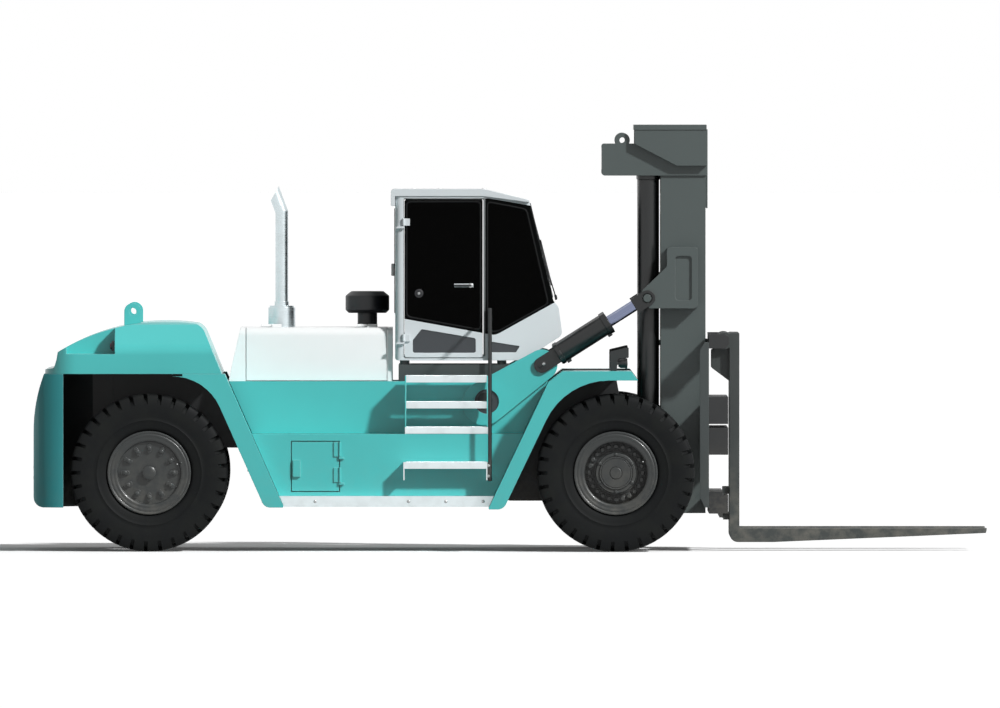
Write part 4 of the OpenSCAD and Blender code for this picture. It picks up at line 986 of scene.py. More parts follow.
    @staticmethod
    def on_arm(centre: Vector, circle: tuple[float, float, float]) -> bool:
        """Whether a face lies in a circle, given by X, Z and radius, on a tilt arm's outer side."""
        x, z, radius = circle
        return math.hypot(centre.x - x, centre.z - z) < radius and abs(centre.y) > TILT_Y

    def on_stringer(self, centre: Vector, normal: Vector) -> bool:
        """Whether a face of the upper steps belongs to a painted stringer between the treads."""
        return centre.z > self.stringer_z and (abs(normal.x) > 0.9 or 0.2 < normal.z < 0.98)

    def on_clevis(self, centre: Vector, normal: Vector) -> bool:
        """Tells the painted faces of a tilt rod.

        Args:
            centre: The face's centre.
            normal: The face's normal; not used.

        Returns:
            Whether the face belongs to the rod's clevis.
        """
        rear, front = Vector(TILT_EYES[0]), Vector(TILT_EYES[1])
        return (centre.xz - rear).dot((front - rear).normalized()) > self.clevis_start

    def sunk_field(self, centre: Vector, normal: Vector) -> bool:
        """Tells the grey faces low on the cab.

        Args:
            centre: The face's centre.
            normal: The face's normal.

        Returns:
            Whether the face is the floor of a sunk field.
        """
        (x0, x1), (z0, z1), (shallow, deep) = self.field_x, self.field_z, self.field_depth
        depth = skin_y(centre.x) - abs(centre.y)
        outward = normal.y * centre.y > 0.9 * abs(centre.y)
        return outward and x0 < centre.x < x1 and z0 < centre.z < z1 and shallow < depth < deep

    def soft_shading(self) -> bpy.types.NodeTree:
        """A modifier that joins the CAD faces and shades narrow strips smooth.

        Returns:
            The node group that every CAD node shares.
        """
        group = bpy.data.node_groups.new("soft_shading", "GeometryNodeTree")
        group.interface.new_socket("Geometry", in_out="INPUT", socket_type="NodeSocketGeometry")
        group.interface.new_socket("Geometry", in_out="OUTPUT", socket_type="NodeSocketGeometry")
        start = add_node(group, "NodeGroupInput")
        merged = add_node(
            group, "GeometryNodeMergeByDistance", {"Distance": self.weld}, {"Geometry": start.outputs[0]}
        )
        plain = add_node(
            group, "GeometryNodeRemoveAttribute", {"Name": "custom_normal"}, {"Geometry": merged.outputs[0]}
        )
        faces = add_node(
            group,
            "GeometryNodeSetShadeSmooth",
            {"domain": "FACE", "Shade Smooth": True},
            {"Geometry": plain.outputs[0]},
        )
        angle = add_node(group, "GeometryNodeInputMeshEdgeAngle")
        gentle = add_node(
            group,
            "FunctionNodeCompare",
            {"data_type": "FLOAT", "operation": "LESS_THAN", 1: math.radians(self.smooth_angle)},
            {0: angle.outputs[0]},
        )
        edges = add_node(
            group,
            "GeometryNodeSetShadeSmooth",
            {"domain": "EDGE"},
            {"Geometry": faces.outputs[0], "Shade Smooth": gentle.outputs[0]},
        )
        add_node(group, "NodeGroupOutput", links={0: edges.outputs[0]})
        return group


@dataclass
class Wheels:
    """Tyres with their lugs, and the nuts, lock rings and valves on the rims.

    The lugs' notch, wall and slant are shares of a lug's pitch.
    """

    finishes: Finishes
    drive_y: tuple[float, float] = (1485, 985)
    steer_x: float = -4500
    steer_y: float = 1235
    lugs: int = 33
    notch: float = 0.115
    notch_centre: float = 0.07
    wall: float = 0.03
    slant: float = 0.3
    zigzag: float = 18
    rim_r: float = 400
    flange_y: float = 190
    nuts: int = 24
    nut_ring_r: float = 256
    plugs: int = 6
    plug_ring_r: float = 178
    bosses: int = 12
    boss_ring_r: float = 235
    valve_place: tuple[float, float, float] = (318, 0, 176)
    sidewall: list[tuple[float, float]] = field(
        default_factory=lambda: [
            (319, 168), (360, 168.5), (406, 169), (411, 177), (418, 185), (440, 193), (475, 201), (500, 205),
            (507, 210), (515, 206), (545, 210), (585, 214), (620, 215), (645, 214.6), (660, 214),
        ]
    )
    # Outer radius and half width of a lug's rows, then the same of the notch floor beside it.
    tread: list[tuple[float, float, float, float]] = field(
        default_factory=lambda: [
            (668, 213.5, 665, 208), (700, 209, 690, 192), (728, 203, 707, 175), (746, 194, 716, 162),
            (755, 181, 719, 150), (759, 150, 721, 130), (760, 110, 722, 100), (760, 70, 723, 66),
            (760, 34, 724, 34), (760, 17, 725, 17), (727, 12, 727, 12), (727, 4, 727, 4),
        ]
    )

    def build(self) -> None:
        """Makes the tyres and the wheels' hardware."""
        for side in Side:
            drive = self.tyre_piece(f"drive_tyres_lugged_{side.word}", side, 0, self.drive_y)
            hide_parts(f"drive_tyres_{side.word}")
            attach(drive, f"drive_wheels_{side.word}")
            steer = self.tyre_piece(f"steer_tyre_lugged_{side.word}", side, self.steer_x, (self.steer_y,))
            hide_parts(f"steer_tyre_{side.word}")
            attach(steer, f"steer_wheel_{side.word}")
            self.hardware(side)
            LOG.info("wheels of the %s side made", side.word)

    def tyre_grid(self) -> np.ndarray:
        """Points of one tyre about its own axis.

        Returns:
            Array of columns by rows by three, in millimetres, with Y along the axle.
        """
        half = [(r, y, r, y, False) for r, y in self.sidewall] + [(*row, True) for row in self.tread]
        rows = [(r, -y, rf, -yf, lug, 1) for r, y, rf, yf, lug in half]
        rows += [(r, y, rf, yf, lug, 0) for r, y, rf, yf, lug in reversed(half)]
        grid = []
        for pitch in range(self.lugs):
            for mark in range(10):
                grid.append([self.tyre_point(row, pitch, mark) for row in rows])
        return np.array(grid)

    def tyre_point(
        self, row: tuple[float, float, float, float, bool, int], pitch: int, mark: int
    ) -> list[float]:
        """One point of the tyre.

        Args:
            row: Outer radius and width, those of the notch floor, whether lugs reach it, and its side.
            pitch: Number of the lug.
            mark: Number of the column within the lug's pitch.

        Returns:
            The point, in millimetres.
        """
        r, y, r_floor, y_floor, lug, far = row
        inward = 1 - min(abs(y), 190) / 190
        width = self.notch + (self.notch_centre - self.notch) * inward
        steps = (-width - self.wall, -width, width, width + self.wall)
        phases = (*steps, 0.25, *(0.5 + s for s in steps), 0.75)
        own = range(1, 3) if not far else range(6, 8)
        if lug and mark in own:
            r, y = r_floor, y_floor
        phase = phases[mark] + self.slant * inward
        weave = 1 - abs(4 * ((phases[mark] + 0.25) % 1) - 2)
        if abs(y) < 40:
            y += self.zigzag * weave * (1 if abs(y) < 20 else 0.5)
        angle = math.tau * (pitch + phase) / self.lugs
        return [r * math.cos(angle), y, r * math.sin(angle)]

    def tyre_piece(self, name: str, side: Side, x: float, widths: tuple[float, ...]) -> bpy.types.Object:
        """One tyre, or the pair of a drive wheel.

        Args:
            name: The piece's name.
            side: The truck's side.
            x: The axle's place.
            widths: Each tyre's distance from the truck's middle.

        Returns:
            The object.
        """
        grid = self.tyre_grid()
        around, across = grid.shape[:2]
        points, faces = [], []
        for y in widths:
            first = sum(len(p) for p in points)
            points.append((grid + np.array([x, side.value * y, AXLE_Z])).reshape(-1, 3))
            for i in range(around):
                n = (i + 1) % around
                for j in range(across):
                    m = (j + 1) % across
                    corners = (i * across + j, i * across + m, n * across + m, n * across + j)
                    faces.append([first + k for k in corners])
        mesh = bpy.data.meshes.new(name)
        flat = np.concatenate(points) * MM + np.array([AXLE_X, 0, 0])
        mesh.from_pydata(flat.tolist(), [], faces)
        mesh.shade_smooth()
        mesh.set_sharp_from_angle(angle=math.radians(38))
        mesh.materials.append(self.finishes.rubber)
        piece = bpy.data.objects.new(name, mesh)
        bpy.context.scene.collection.objects.link(piece)
        return piece

    def lock_ring(self) -> bmesh.types.BMesh:
        """The rounded flange and lock ring that hold a tyre's bead."""
        r = self.rim_r
        return lathe(
            [
                (r - 6, -4), (r + 2, 1), (r + 3, 7), (r - 3, 12), (r - 13, 12), (r - 19, 6), (r - 24, 4),
                (r - 30, 8), (r - 42, 9), (r - 52, 4), (r - 62, 3), (r - 74, 5), (r - 86, 3), (r - 96, -6),
            ],
            96,
        )

    def rim_fittings(self, shape: Shape, hub: Matrix, turn: float) -> None:
        """Adds the lock ring and the bent valve stem of a rim.

        Args:
            shape: The wheel's hardware.
            hub: The wheel's middle, with local Z outward.
            turn: The valve's place round the rim, in radians.
        """
        shape.put(self.lock_ring(), hub @ Matrix.Translation((0, 0, self.flange_y)))
        place = hub @ Matrix.Rotation(turn, 4, "Z") @ Matrix.Translation(self.valve_place)
        shape.put(tube(bent([(0, 0, 0), (0, 0, 22), (-34, 0, 34)], 12), 5), place, 2)
        cap = lathe([(0, 0), (7, 0), (7, 18), (4, 20), (0, 20)], 12)
        shape.put(cap, place @ Matrix.Translation((-34, 0, 30)), 1)

    @staticmethod
    def ring_of(
        shape: Shape,
        part: bmesh.types.BMesh,
        hub: Matrix,
        count: int,
        radius: float,
        height: float,
        start: float = 0,
    ) -> None:
        """Sets copies of a part in a ring.

        Args:
            shape: The wheel's hardware.
            part: The part.
            hub: The wheel's middle, with local Z outward.
            count: Number of copies.
            radius: Radius of the ring.
            height: Its height above the wheel's middle.
            start: Where the first copy is, as a share of the distance between two.
        """
        for i in range(count):
            spot = hub @ Matrix.Rotation(math.tau * (i + start) / count, 4, "Z")
            shape.put(part, spot @ Matrix.Translation((radius, 0, height)))

    def hardware(self, side: Side) -> None:
        """Nuts, plugs, bolt heads, hub caps, lock rings and valves of one side's wheels.

        Args:
            side: The truck's side.
        """
        out = (0, side.value, 0)
        finishes = (self.finishes.rim, self.finishes.zinc, self.finishes.seal)
        drive = Shape(f"drive_wheel_hardware_{side.word}")
        hub = facing(0, side.value * self.drive_y[0], AXLE_Z, out)
        self.ring_of(drive, bolt(46, 34), hub, self.nuts, self.nut_ring_r, 20)
        self.ring_of(drive, bolt(24, 14), hub, self.plugs, self.plug_ring_r, 160, 0.5)
        self.rim_fittings(drive, hub, 0.4)
        drive.riding(f"drive_wheels_{side.word}", *finishes)
        steer = Shape(f"steer_wheel_hardware_{side.word}")
        hub = facing(self.steer_x, side.value * self.steer_y, AXLE_Z, out)
        self.ring_of(steer, bolt(30, 20), hub, self.bosses, self.boss_ring_r, 175)
        cap = lathe([(60, 0), (66, 0), (66, 10), (58, 16), (40, 20), (0, 22)], 36)
        steer.put(cap, hub @ Matrix.Translation((0, 0, 200)))
        self.rim_fittings(steer, hub, 0.3)
        steer.riding(f"steer_wheel_{side.word}", *finishes)


@dataclass
class LiftChains:
    """Leaf chains: the front strand, the turn over the pulley and the rear strand."""

    finishes: Finishes
    pitch: float = 44.45
    plate_t: float = 7
    plates: int = 8
    plate_w: float = 38
    pin_r: float = 9
    chain_y: float = 300
    pulley_x: float = 540
    pulley_z: float = 3880
    chain_r: float = 170
    anchor_z: float = 1340
    rear_anchor_z: float = 2030
    link_plate: bmesh.types.BMesh = field(init=False)
    link_pin: bmesh.types.BMesh = field(init=False)

    def build(self) -> None:
        """Makes the strands; the turns and the chain ends are fixed to their bodies, the straight strands to
        none.
        """
        self.link_plate = self.plate()
        length = self.plates * self.plate_t + 8
        self.link_pin = lathe([(0, 0), (self.pin_r, 0), (self.pin_r, length), (0, length)], 10)
        front_x = self.pulley_x + self.chain_r
        rear_x = self.pulley_x - self.chain_r
        front = self.strand("front_chain_strands", front_x, self.anchor_z, self.pulley_z)
        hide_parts("lift_chains")
        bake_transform(front)
        rear = self.strand("rear_chain_strands", rear_x, self.rear_anchor_z, self.pulley_z)
        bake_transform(rear)
        self.turn_over()
        self.anchors(front_x, rear_x)

    def plate(self) -> bmesh.types.BMesh:
        """One waisted chain plate.

        Returns:
            The plate, lying in X and Z about its middle.
        """
        half, waist = self.plate_w / 2, self.plate_w * 0.36
        outline = []
        for end in (1, -1):
            for i in range(7):
                a = math.pi * i / 6
                rise = self.pitch / 2 + half * 0.8 * math.sin(a)
                outline.append((end * half * math.cos(a), end * rise))
            outline.append((-end * waist, 0))
        part = prism(outline, self.plate_t - 0.6)
        part.transform(Matrix.Rotation(math.pi / 2, 4, "X"))
        return part

    def link(self, shape: Shape, place: Matrix, odd: bool) -> None:
        """Adds the plates and the pin of one link.

        Args:
            shape: The strand.
            place: The link's middle.
            odd: Whether its plates are the outer ones.
        """
        width = self.plates * self.plate_t
        for k in range(odd, self.plates, 2):
            y = -width / 2 + (k + 1) * self.plate_t
            shape.put(self.link_plate, place @ Matrix.Translation((0, y, 0)))
        pin = Matrix.Translation((0, -width / 2 - 4, self.pitch / 2)) @ Matrix.Rotation(-math.pi / 2, 4, "X")
        shape.put(self.link_pin, place @ pin)

    def strand(self, name: str, x: float, z0: float, z1: float) -> bpy.types.Object:
        """Both straight strands of one run.

        Args:
            name: The piece's name.
            x: Its place.
            z0: Lower end.
            z1: Upper end.

        Returns:
            The object.
        """
        shape = Shape(name)
        count = int((z1 - z0) / self.pitch)
        for side in Side:
            for i in range(count):
                place = Matrix.Translation((x, side.value * self.chain_y, z1 - (i + 0.5) * self.pitch))
                self.link(shape, place, i % 2 == 1)
        return shape.object([self.finishes.chain])

    def turn_over(self) -> None:
        """The chain's half turn over its pulley."""
        shape = Shape("chain_turns")
        count = round(math.pi * self.chain_r / self.pitch)
        for side in Side:
            hub = Matrix.Translation((self.pulley_x, side.value * self.chain_y, self.pulley_z))
            for i in range(count):
                turn = Matrix.Rotation(-math.pi * (i + 0.5) / count + math.pi / 2, 4, "Y")
                self.link(shape, hub @ turn @ Matrix.Translation((self.chain_r, 0, 0)), i % 2 == 0)
        shape.riding("inner_mast", self.finishes.chain)

    def anchors(self, front_x: float, rear_x: float) -> None:
        """Threaded chain ends with their nuts on the carriage and the outer mast.

        Args:
            front_x: Place of the front strand.
            rear_x: Place of the rear strand.
        """
        for name, body, x, z in (
            ("carriage_chain_ends", "carriage", front_x, self.anchor_z),
            ("mast_chain_ends", "mast", rear_x, self.rear_anchor_z),
        ):
            shape = Shape(name)
            for side in Side:
                spot = Matrix.Translation((x, side.value * self.chain_y, z))
                stud = lathe([(0, 0), (15, 0), (15, 40), (0, 40)], 20)
                for part, rise in ((block(40, 54, 56, 5), 2), (stud, -128), (prism(hexagon(46), 26, 2), -104)):
                    shape.put(part, spot @ Matrix.Translation((0, 0, rise)))
            shape.riding(body, self.finishes.zinc)


@dataclass
class CabFittings:
    """Seat, controls, seals, wiper and the small fittings of the cab.

    A window is given by its corners in X and Z, or in Y and Z at the front and the rear.
    """

    finishes: Finishes
    floor_z: float = 1884
    seat_x: float = -1640
    seal_r: float = 9
    door_window: list[tuple[float, float]] = field(
        default_factory=lambda: [(-2020, 2262), (-1305, 2132), (-1305, 3372), (-2020, 3372)]
    )
    side_window: list[tuple[float, float]] = field(
        default_factory=lambda: [(-1240, 2116), (-1140, 2116), (-650, 2388), (-862, 3300), (-1240, 3372)]
    )
    rear_window: tuple[float, float, float] = (600, 2300, 3300)
    rear_x: float = -2131
    windscreen: tuple[float, float, float] = (590, 2450, 3350)
    # Foot of the windscreen in X and Z, and how much it leans back for each millimetre of height
    screen_foot: tuple[float, float] = (-602, 2412)
    screen_lean: float = -232 / 968
    seat_grid: int = 36
    seam_depth: float = 7
    grip_z: float = 2562
    lock_place: tuple[float, float] = (-1900, 2486)

    def build(self) -> None:
        """Makes the cab's fittings."""
        self.seat()
        self.controls()
        self.seals()
        self.fittings()

    def cushion(
        self, name: str, size: tuple[float, float, float], crown: float, place: Matrix, channels: int
    ) -> bpy.types.Object:
        """A stuffed vinyl cushion with sewn channels and a piped edge.

        Args:
            name: The piece's name.
            size: Width across, length and thickness.
            crown: How far its middle stands up.
            place: Its place, with local Z out of the cushion.
            channels: Number of sewn channels.

        Returns:
            The object.
        """
        across, along, thick = size
        count = self.seat_grid
        shape = Shape(name)
        part = bmesh.new()
        for top in (True, False):
            rows = []
            for i in range(count + 1):
                u = -1 + 2 * i / count
                row = []
                for j in range(count + 1):
                    v = -1 + 2 * j / count
                    rim = (1 - abs(u) ** 5) * (1 - abs(v) ** 5)
                    pull = 1 - 0.05 * (1 - abs(v)) * abs(u) ** 6 - 0.05 * (1 - abs(u)) * abs(v) ** 6
                    ridge = abs(math.sin(math.pi * channels * (v + 1) / 2)) ** 0.5
                    sewn = self.seam_depth * (ridge - 1) if abs(u) < 0.78 else 0
                    rise = (thick / 2 + crown * (1 - u * u) * (1 - v * v)) * rim**0.4 + sewn * rim
                    z = rise if top else -thick / 2 * rim**0.4
                    row.append(part.verts.new((along / 2 * v * pull, across / 2 * u * pull, z)))
                rows.append(row)
            for i in range(count):
                for j in range(count):
                    part.faces.new((rows[i][j], rows[i + 1][j], rows[i + 1][j + 1], rows[i][j + 1]))
        bmesh.ops.remove_doubles(part, verts=part.verts, dist=0.5)
        bmesh.ops.recalc_face_normals(part, faces=part.faces)
        shape.put(part, place)
        piping = []
        for i in range(96):
            a = math.tau * i / 96
            c, s = math.cos(a), math.sin(a)
            grow = 1 / max(abs(c), abs(s)) ** 0.82
            piping.append((along / 2 * c * grow * 0.965, across / 2 * s * grow * 0.965, 0))
        shape.put(tube(piping, 6, 8, closed=True), place)
        piece = shape.riding("chassis", self.finishes.vinyl)
        return piece

    def seat(self) -> None:
        """The seat's cushions on a sprung base, in place of its plain solid."""
        z = self.floor_z
        base = Matrix.Translation((self.seat_x, 0, z))
        lean = Matrix.Rotation(math.radians(-80), 4, "Y")
        self.cushion("seat_cushion", (520, 520, 120), 18, base @ Matrix.Translation((10, 0, 405)), 4)
        self.cushion("seat_back", (500, 640, 110), 16, base @ Matrix.Translation((-250, 0, 800)) @ lean, 5)
        shape = Shape("seat_frame")
        shape.put(block(440, 420, 60, 8), base)
        for i in range(7):
            fold = 205 - 14 * (i % 2)
            shape.put(block(2 * fold, 2 * fold - 20, 30, 6), base @ Matrix.Translation((0, 0, 70 + 32 * i)))
        shape.put(block(500, 500, 30, 8), base @ Matrix.Translation((0, 0, 306)))
        for side in Side:
            arm = base @ Matrix.Translation((10, side.value * 330, 520))
            shape.put(block(400, 78, 60, 22), arm)
            shape.put(block(60, 60, 140, 8), arm @ Matrix.Translation((-110, side.value * -30, -135)))
            for k, x in enumerate((110, 150)):
                stick = arm @ Matrix.Translation((x, (k - 0.5) * 30, 60))
                shape.put(lathe([(0, 0), (7, 0), (6, 50), (14, 60), (15, 80), (9, 92), (0, 94)], 16), stick)
        frame = shape.riding("chassis", self.finishes.plastic)
        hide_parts("cab_interior")

    def controls(self) -> None:
        """Dashboard, steering column, wheel, pedals and a blank display."""
        shape = Shape("cab_controls")
        z = self.floor_z
        desk = [
            (-1000, z), (-915, z), (-720, z + 130), (-690, 2290), (-705, 2330), (-760, 2350), (-800, 2338),
            (-945, 2262), (-965, 2240),
        ]
        body = prism(desk, 520, 14)
        shape.put(body, Matrix.Translation((0, 260, 0)) @ Matrix.Rotation(math.pi / 2, 4, "X"))
        column = Matrix.Translation((-900, 0, 2220)) @ Matrix.Rotation(math.radians(-35), 4, "Y")
        post = lathe([(0, 0), (44, 0), (40, 120), (28, 160), (24, 232), (48, 236), (50, 252), (0, 256)], 28)
        shape.put(post, column)
        rim = [(190 * math.cos(math.tau * i / 48), 190 * math.sin(math.tau * i / 48), 244) for i in range(48)]
        shape.put(tube(rim, 15, 14, closed=True), column)
        spoke = prism([(40, -20), (186, -13), (186, 13), (40, 20)], 12, 3)
        for i in range(3):
            turn = Matrix.Rotation(math.tau * i / 3, 4, "Z")
            shape.put(spoke, column @ turn @ Matrix.Translation((0, 0, 238)))
        for y in (-150, -60, 120):
            pedal = Matrix.Translation((-985, y, z + 60)) @ Matrix.Rotation(math.radians(-35), 4, "Y")
            shape.put(block(120, 70, 14, 4), pedal)
            shape.put(block(16, 16, 62, 3), Matrix.Translation((-985, y, z)))
        screen = Matrix.Translation((-770, -190, 2348)) @ Matrix.Rotation(math.radians(-70), 4, "Y")
        shape.put(block(180, 240, 26, 8), screen)
        shape.put(block(150, 210, 4, 2), screen @ Matrix.Translation((0, 0, 25)), 1)
        shape.riding("chassis", self.finishes.plastic, self.finishes.glass)

    def outline_path(self, outline: Sequence[tuple[float, float]], side: Side, lift: float) -> list[Vector]:
        """A window's outline on the cab's skin.

        Args:
            outline: Its corners in X and Z.
            side: The cab's side.
            lift: Height above the skin.

        Returns:
            The path, with round corners.
        """
        corners = [Vector((x, side.value * (skin_y(x) + lift), z)) for x, z in outline]
        middle = (corners[0] + corners[-1]) / 2
        return bent([middle, *corners, middle], 45)[:-1]

    def seals(self) -> None:
        """Rubber seals round the windows, on the body that carries each."""
        for side in Side:
            door = Shape(f"door_window_seal_{side.word}")
            door.put(tube(self.outline_path(self.door_window, side, -4), self.seal_r, 8, closed=True))
            door.riding(f"cab_door_{side.word}", self.finishes.seal)
        shape = Shape("cab_window_seals")
        for side in Side:
            shape.put(tube(self.outline_path(self.side_window, side, -4), self.seal_r, 8, closed=True))
        rear = self.upright_path(self.rear_window, 70)
        shape.put(tube([(self.rear_x, p.y, p.z) for p in rear], self.seal_r, 8, closed=True))
        x, z = self.screen_foot
        front = self.upright_path(self.windscreen, 60)
        sloped = [(x + self.screen_lean * (p.z - z), p.y, p.z) for p in front]
        shape.put(tube(sloped, self.seal_r, 8, closed=True))
        shape.riding("chassis", self.finishes.seal)

    @staticmethod
    def upright_path(window: tuple[float, float, float], corner: float) -> list[Vector]:
        """The outline of the rear window or the windscreen.

        Args:
            window: Half width, lower and upper edge.
            corner: Distance from a corner at which its bend starts.

        Returns:
            The path in Y and Z, from the middle of the upper edge.
        """
        y, low, high = window
        middle = (0, 0, high)
        return bent([middle, (0, y, high), (0, y, low), (0, -y, low), (0, -y, high), middle], corner)[:-1]

    def fittings(self) -> None:
        """Door grips, locks, wiper, roof caps and the grey strip between door and side window."""
        boss = lathe([(0, 0), (22, 0), (22, 8), (12, 12), (0, 13)], 28)
        lock = lathe([(36, 0), (42, 2), (42, 8), (30, 12), (16, 12), (14, 8), (0, 8)], 36)
        barrel = lathe([(0, 0), (12, 0), (12, 6), (0, 8)], 24)
        lock_x, lock_z = self.lock_place
        for side in Side:
            s = side.value
            shape = Shape(f"door_fittings_{side.word}")
            y = s * CAB_HALF_W
            out = (0, s, 0)
            z = self.grip_z
            grip = bent([(-1556, 0, z), (-1556, 26, z), (-1400, 26, z), (-1400, 0, z)], 18)
            shape.put(tube([(p.x, y + s * (p.y + 8), p.z) for p in grip], 9, 12))
            shape.put(boss, facing(-1400, y + s * 10, z, out), 1)
            shape.put(lock, facing(lock_x, y + s * 4, lock_z, out))
            shape.put(barrel, facing(lock_x, y + s * 12, lock_z, out), 1)
            rail = bent([(-1330, 0, 2760), (-1330, 0, 2650), (-1660, 0, 2650)], 40)
            shape.put(tube([(p.x, s * 700, p.z) for p in rail], 13, 12))
            shape.riding(f"cab_door_{side.word}", self.finishes.plastic, self.finishes.zinc)
        shape = Shape("cab_fittings")
        cap = lathe([(0, 12), (14, 11), (20, 6), (26, 4), (28, 0)], 24)
        for side in Side:
            strip = Matrix.Translation((-1268, side.value * (CAB_HALF_W - 2), 1880))
            shape.put(block(16, 12, 1530, 3), strip, 3)
            for x in (-1957, -1697, -1272):
                shape.put(cap, Matrix.Translation((x, side.value * 690, 3490)), 2)
        wiper = [(-575, 180, 2440), (-630, 120, 2620), (-725, 30, 3000)]
        shape.put(tube(bent(wiper, 60), 6, 8))
        shape.put(tube([(-622, -170, 2560), (-735, 30, 3000), (-806, 150, 3270)], 5, 8))
        spindle = lathe([(0, 0), (26, 0), (26, 20), (14, 26), (0, 26)], 24)
        shape.put(spindle, facing(-588, 180, 2440, (1, 0, 0.2)))
        shape.put(block(46, 70, 120, 8), Matrix.Translation((-2148, 0, 2650)), 2)
        shape.riding(
            "chassis", self.finishes.plastic, self.finishes.zinc, self.finishes.white, self.finishes.engine
        )


@dataclass
class Hardware:
    """Lamp lenses, bolts, pipes, grip studs and the other small hardware on the body and the mast.

    A tread is given by its inner and outer edge in Y and by its height.
    """

    finishes: Finishes
    lamp_x: tuple[float, float] = (24, 104)
    lamp_y: float = 1255
    lamp_z: float = 1812
    tail_x: float = -4862
    tail_z: float = 1982
    lift_x: float = 318
    gland_y: float = 560
    gland_z: float = 3584
    board_y: float = 1390
    board_z: float = 483
    stud_gap: float = 42
    stud_inset: float = 24
    tread_x: tuple[float, float] = (-2014, -1253)
    treads: list[tuple[float, float, float]] = field(
        default_factory=lambda: [(910, 1150, 1693), (980, 1220, 1443), (1060, 1300, 1200), (1300, 1500, 864)]
    )

    def build(self) -> None:
        """Makes the hardware."""
        self.lamps()
        self.grip_studs()
        self.mast_hardware()
        self.tilt_hardware()
        self.body_hardware()

    def lamps(self) -> None:
        """Work lamps on the front fenders and lamp clusters in the counterweight's niches."""
        shape = Shape("lamp_lenses")
        lens = lathe([(43, -2), (43, 3), (34, 7), (18, 10), (0, 11)], 40)
        marker = lathe([(0, 2), (12, 2), (14, 5), (9, 12), (0, 13)], 24)
        socket = lathe([(0, 0), (34, 0), (34, 8), (30, 10), (0, 10)], 32)
        tail = lathe([(29, 8), (29, 14), (20, 19), (0, 21)], 32)
        rear_x, front_x = self.lamp_x
        for side in Side:
            y = side.value * self.lamp_y
            shape.put(lens, facing(front_x, y, self.lamp_z, (1, 0, 0)), 1)
            shape.put(marker, facing(rear_x, y, self.lamp_z, (-1, 0, 0)), 2)
            for y, finish in ((1170, 3), (1240, 2), (1310, 3)):
                spot = facing(self.tail_x, side.value * y, self.tail_z, (-1, 0, 0))
                shape.put(socket, spot)
                shape.put(tail, spot, finish)
        shape.riding(
            "chassis", self.finishes.plastic, self.finishes.clear, self.finishes.amber, self.finishes.red
        )

    def grip_studs(self) -> None:
        """Raised grip rings on the treads."""
        shape = Shape("tread_grip_studs")
        ring = lathe([(14, 0), (12, 5), (9, 5), (7, 1)], 10)
        gap = self.stud_gap
        x0, x1 = self.tread_x
        for side in Side:
            for y0, y1, z in self.treads:
                for i in range(int((x1 - x0) / gap) + 1):
                    for j in range(int((y1 - y0 - 40) / gap) + 1):
                        x = x0 + (i + (j % 2) / 2) * gap
                        y = side.value * (y0 + self.stud_inset + j * gap)
                        if x <= x1:
                            shape.put(ring, Matrix.Translation((x, y, z)))
        shape.riding("chassis", self.finishes.tread)

    def mast_hardware(self) -> None:
        """Glands and pipes of the lift cylinders."""
        shape = Shape("mast_hardware")
        rings = [(71, 0), (104, 0), (112, 4), (112, 40), (104, 46), (84, 50), (74, 50), (71.5, 44)]
        gland = lathe(rings, 48)
        x = self.lift_x
        for side in Side:
            s = side.value
            shape.put(gland, Matrix.Translation((x, s * self.gland_y, self.gland_z)))
            pipe = bent([(x, s * 470, 900), (x, s * 440, 900), (x, s * 440, 3500), (x, s * 462, 3500)], 40)
            shape.put(tube(pipe, 13, 12), finish=1)
        shape.riding("mast", self.finishes.cylinder, self.finishes.zinc)

    def tilt_hardware(self) -> None:
        """Collars and pin keeper plates of the tilt cylinders."""
        (ax, az), (bx, bz) = TILT_EYES
        rise = math.atan2(bz - az, bx - ax)
        turned = Matrix.Rotation(math.pi / 2, 4, "Y")
        front_ring = lathe([(98, 0), (108, 4), (108, 56), (100, 60), (60, 62), (50, 58)], 48)
        rear_ring = lathe([(98, 0), (106, 4), (106, 40), (98, 44)], 48)
        keeper = prism([(-34, -14), (34, -14), (34, 14), (-34, 14)], 8, 3)
        for side in Side:
            s = side.value
            shape = Shape(f"tilt_barrel_hardware_{side.word}")
            along = Matrix.Translation((ax, s * TILT_Y, az)) @ Matrix.Rotation(-rise, 4, "Y")
            for ring, reach in ((front_ring, 712), (rear_ring, 180)):
                shape.put(ring, along @ Matrix.Translation((reach, 0, 0)) @ turned)
            shape.put(keeper, along @ facing(0, s * 69, 0, (0, s, 0)))
            shape.put(bolt(17, 10), along @ facing(20, s * 76, 0, (0, s, 0)), 1)
            shape.riding(f"tilt_barrel_{side.word}", self.finishes.cylinder, self.finishes.zinc)

    def body_hardware(self) -> None:
        """Bolts on the running boards, the hand rails' feet and the counterweight."""
        shape = Shape("body_hardware")
        head = bolt(30, 16)
        small = bolt(17, 10)
        dome = lathe([(0, 9), (8, 8), (14, 4), (16, 0)], 20)
        for side in Side:
            s = side.value
            for x in (-2000, -1640, -1280, -2900, -3400):
                shape.put(dome, facing(x, s * self.board_y, self.board_z, (0, s, 0)))
            for z in (730, 830):
                shape.put(small, facing(-1227, s * 1500, z, (0, s, 0)))
        for y in (-200, 200):
            for z in (700, 800):
                shape.put(head, facing(-5619, y, z, (-1, 0, 0)))
        shape.riding("chassis", self.finishes.zinc)


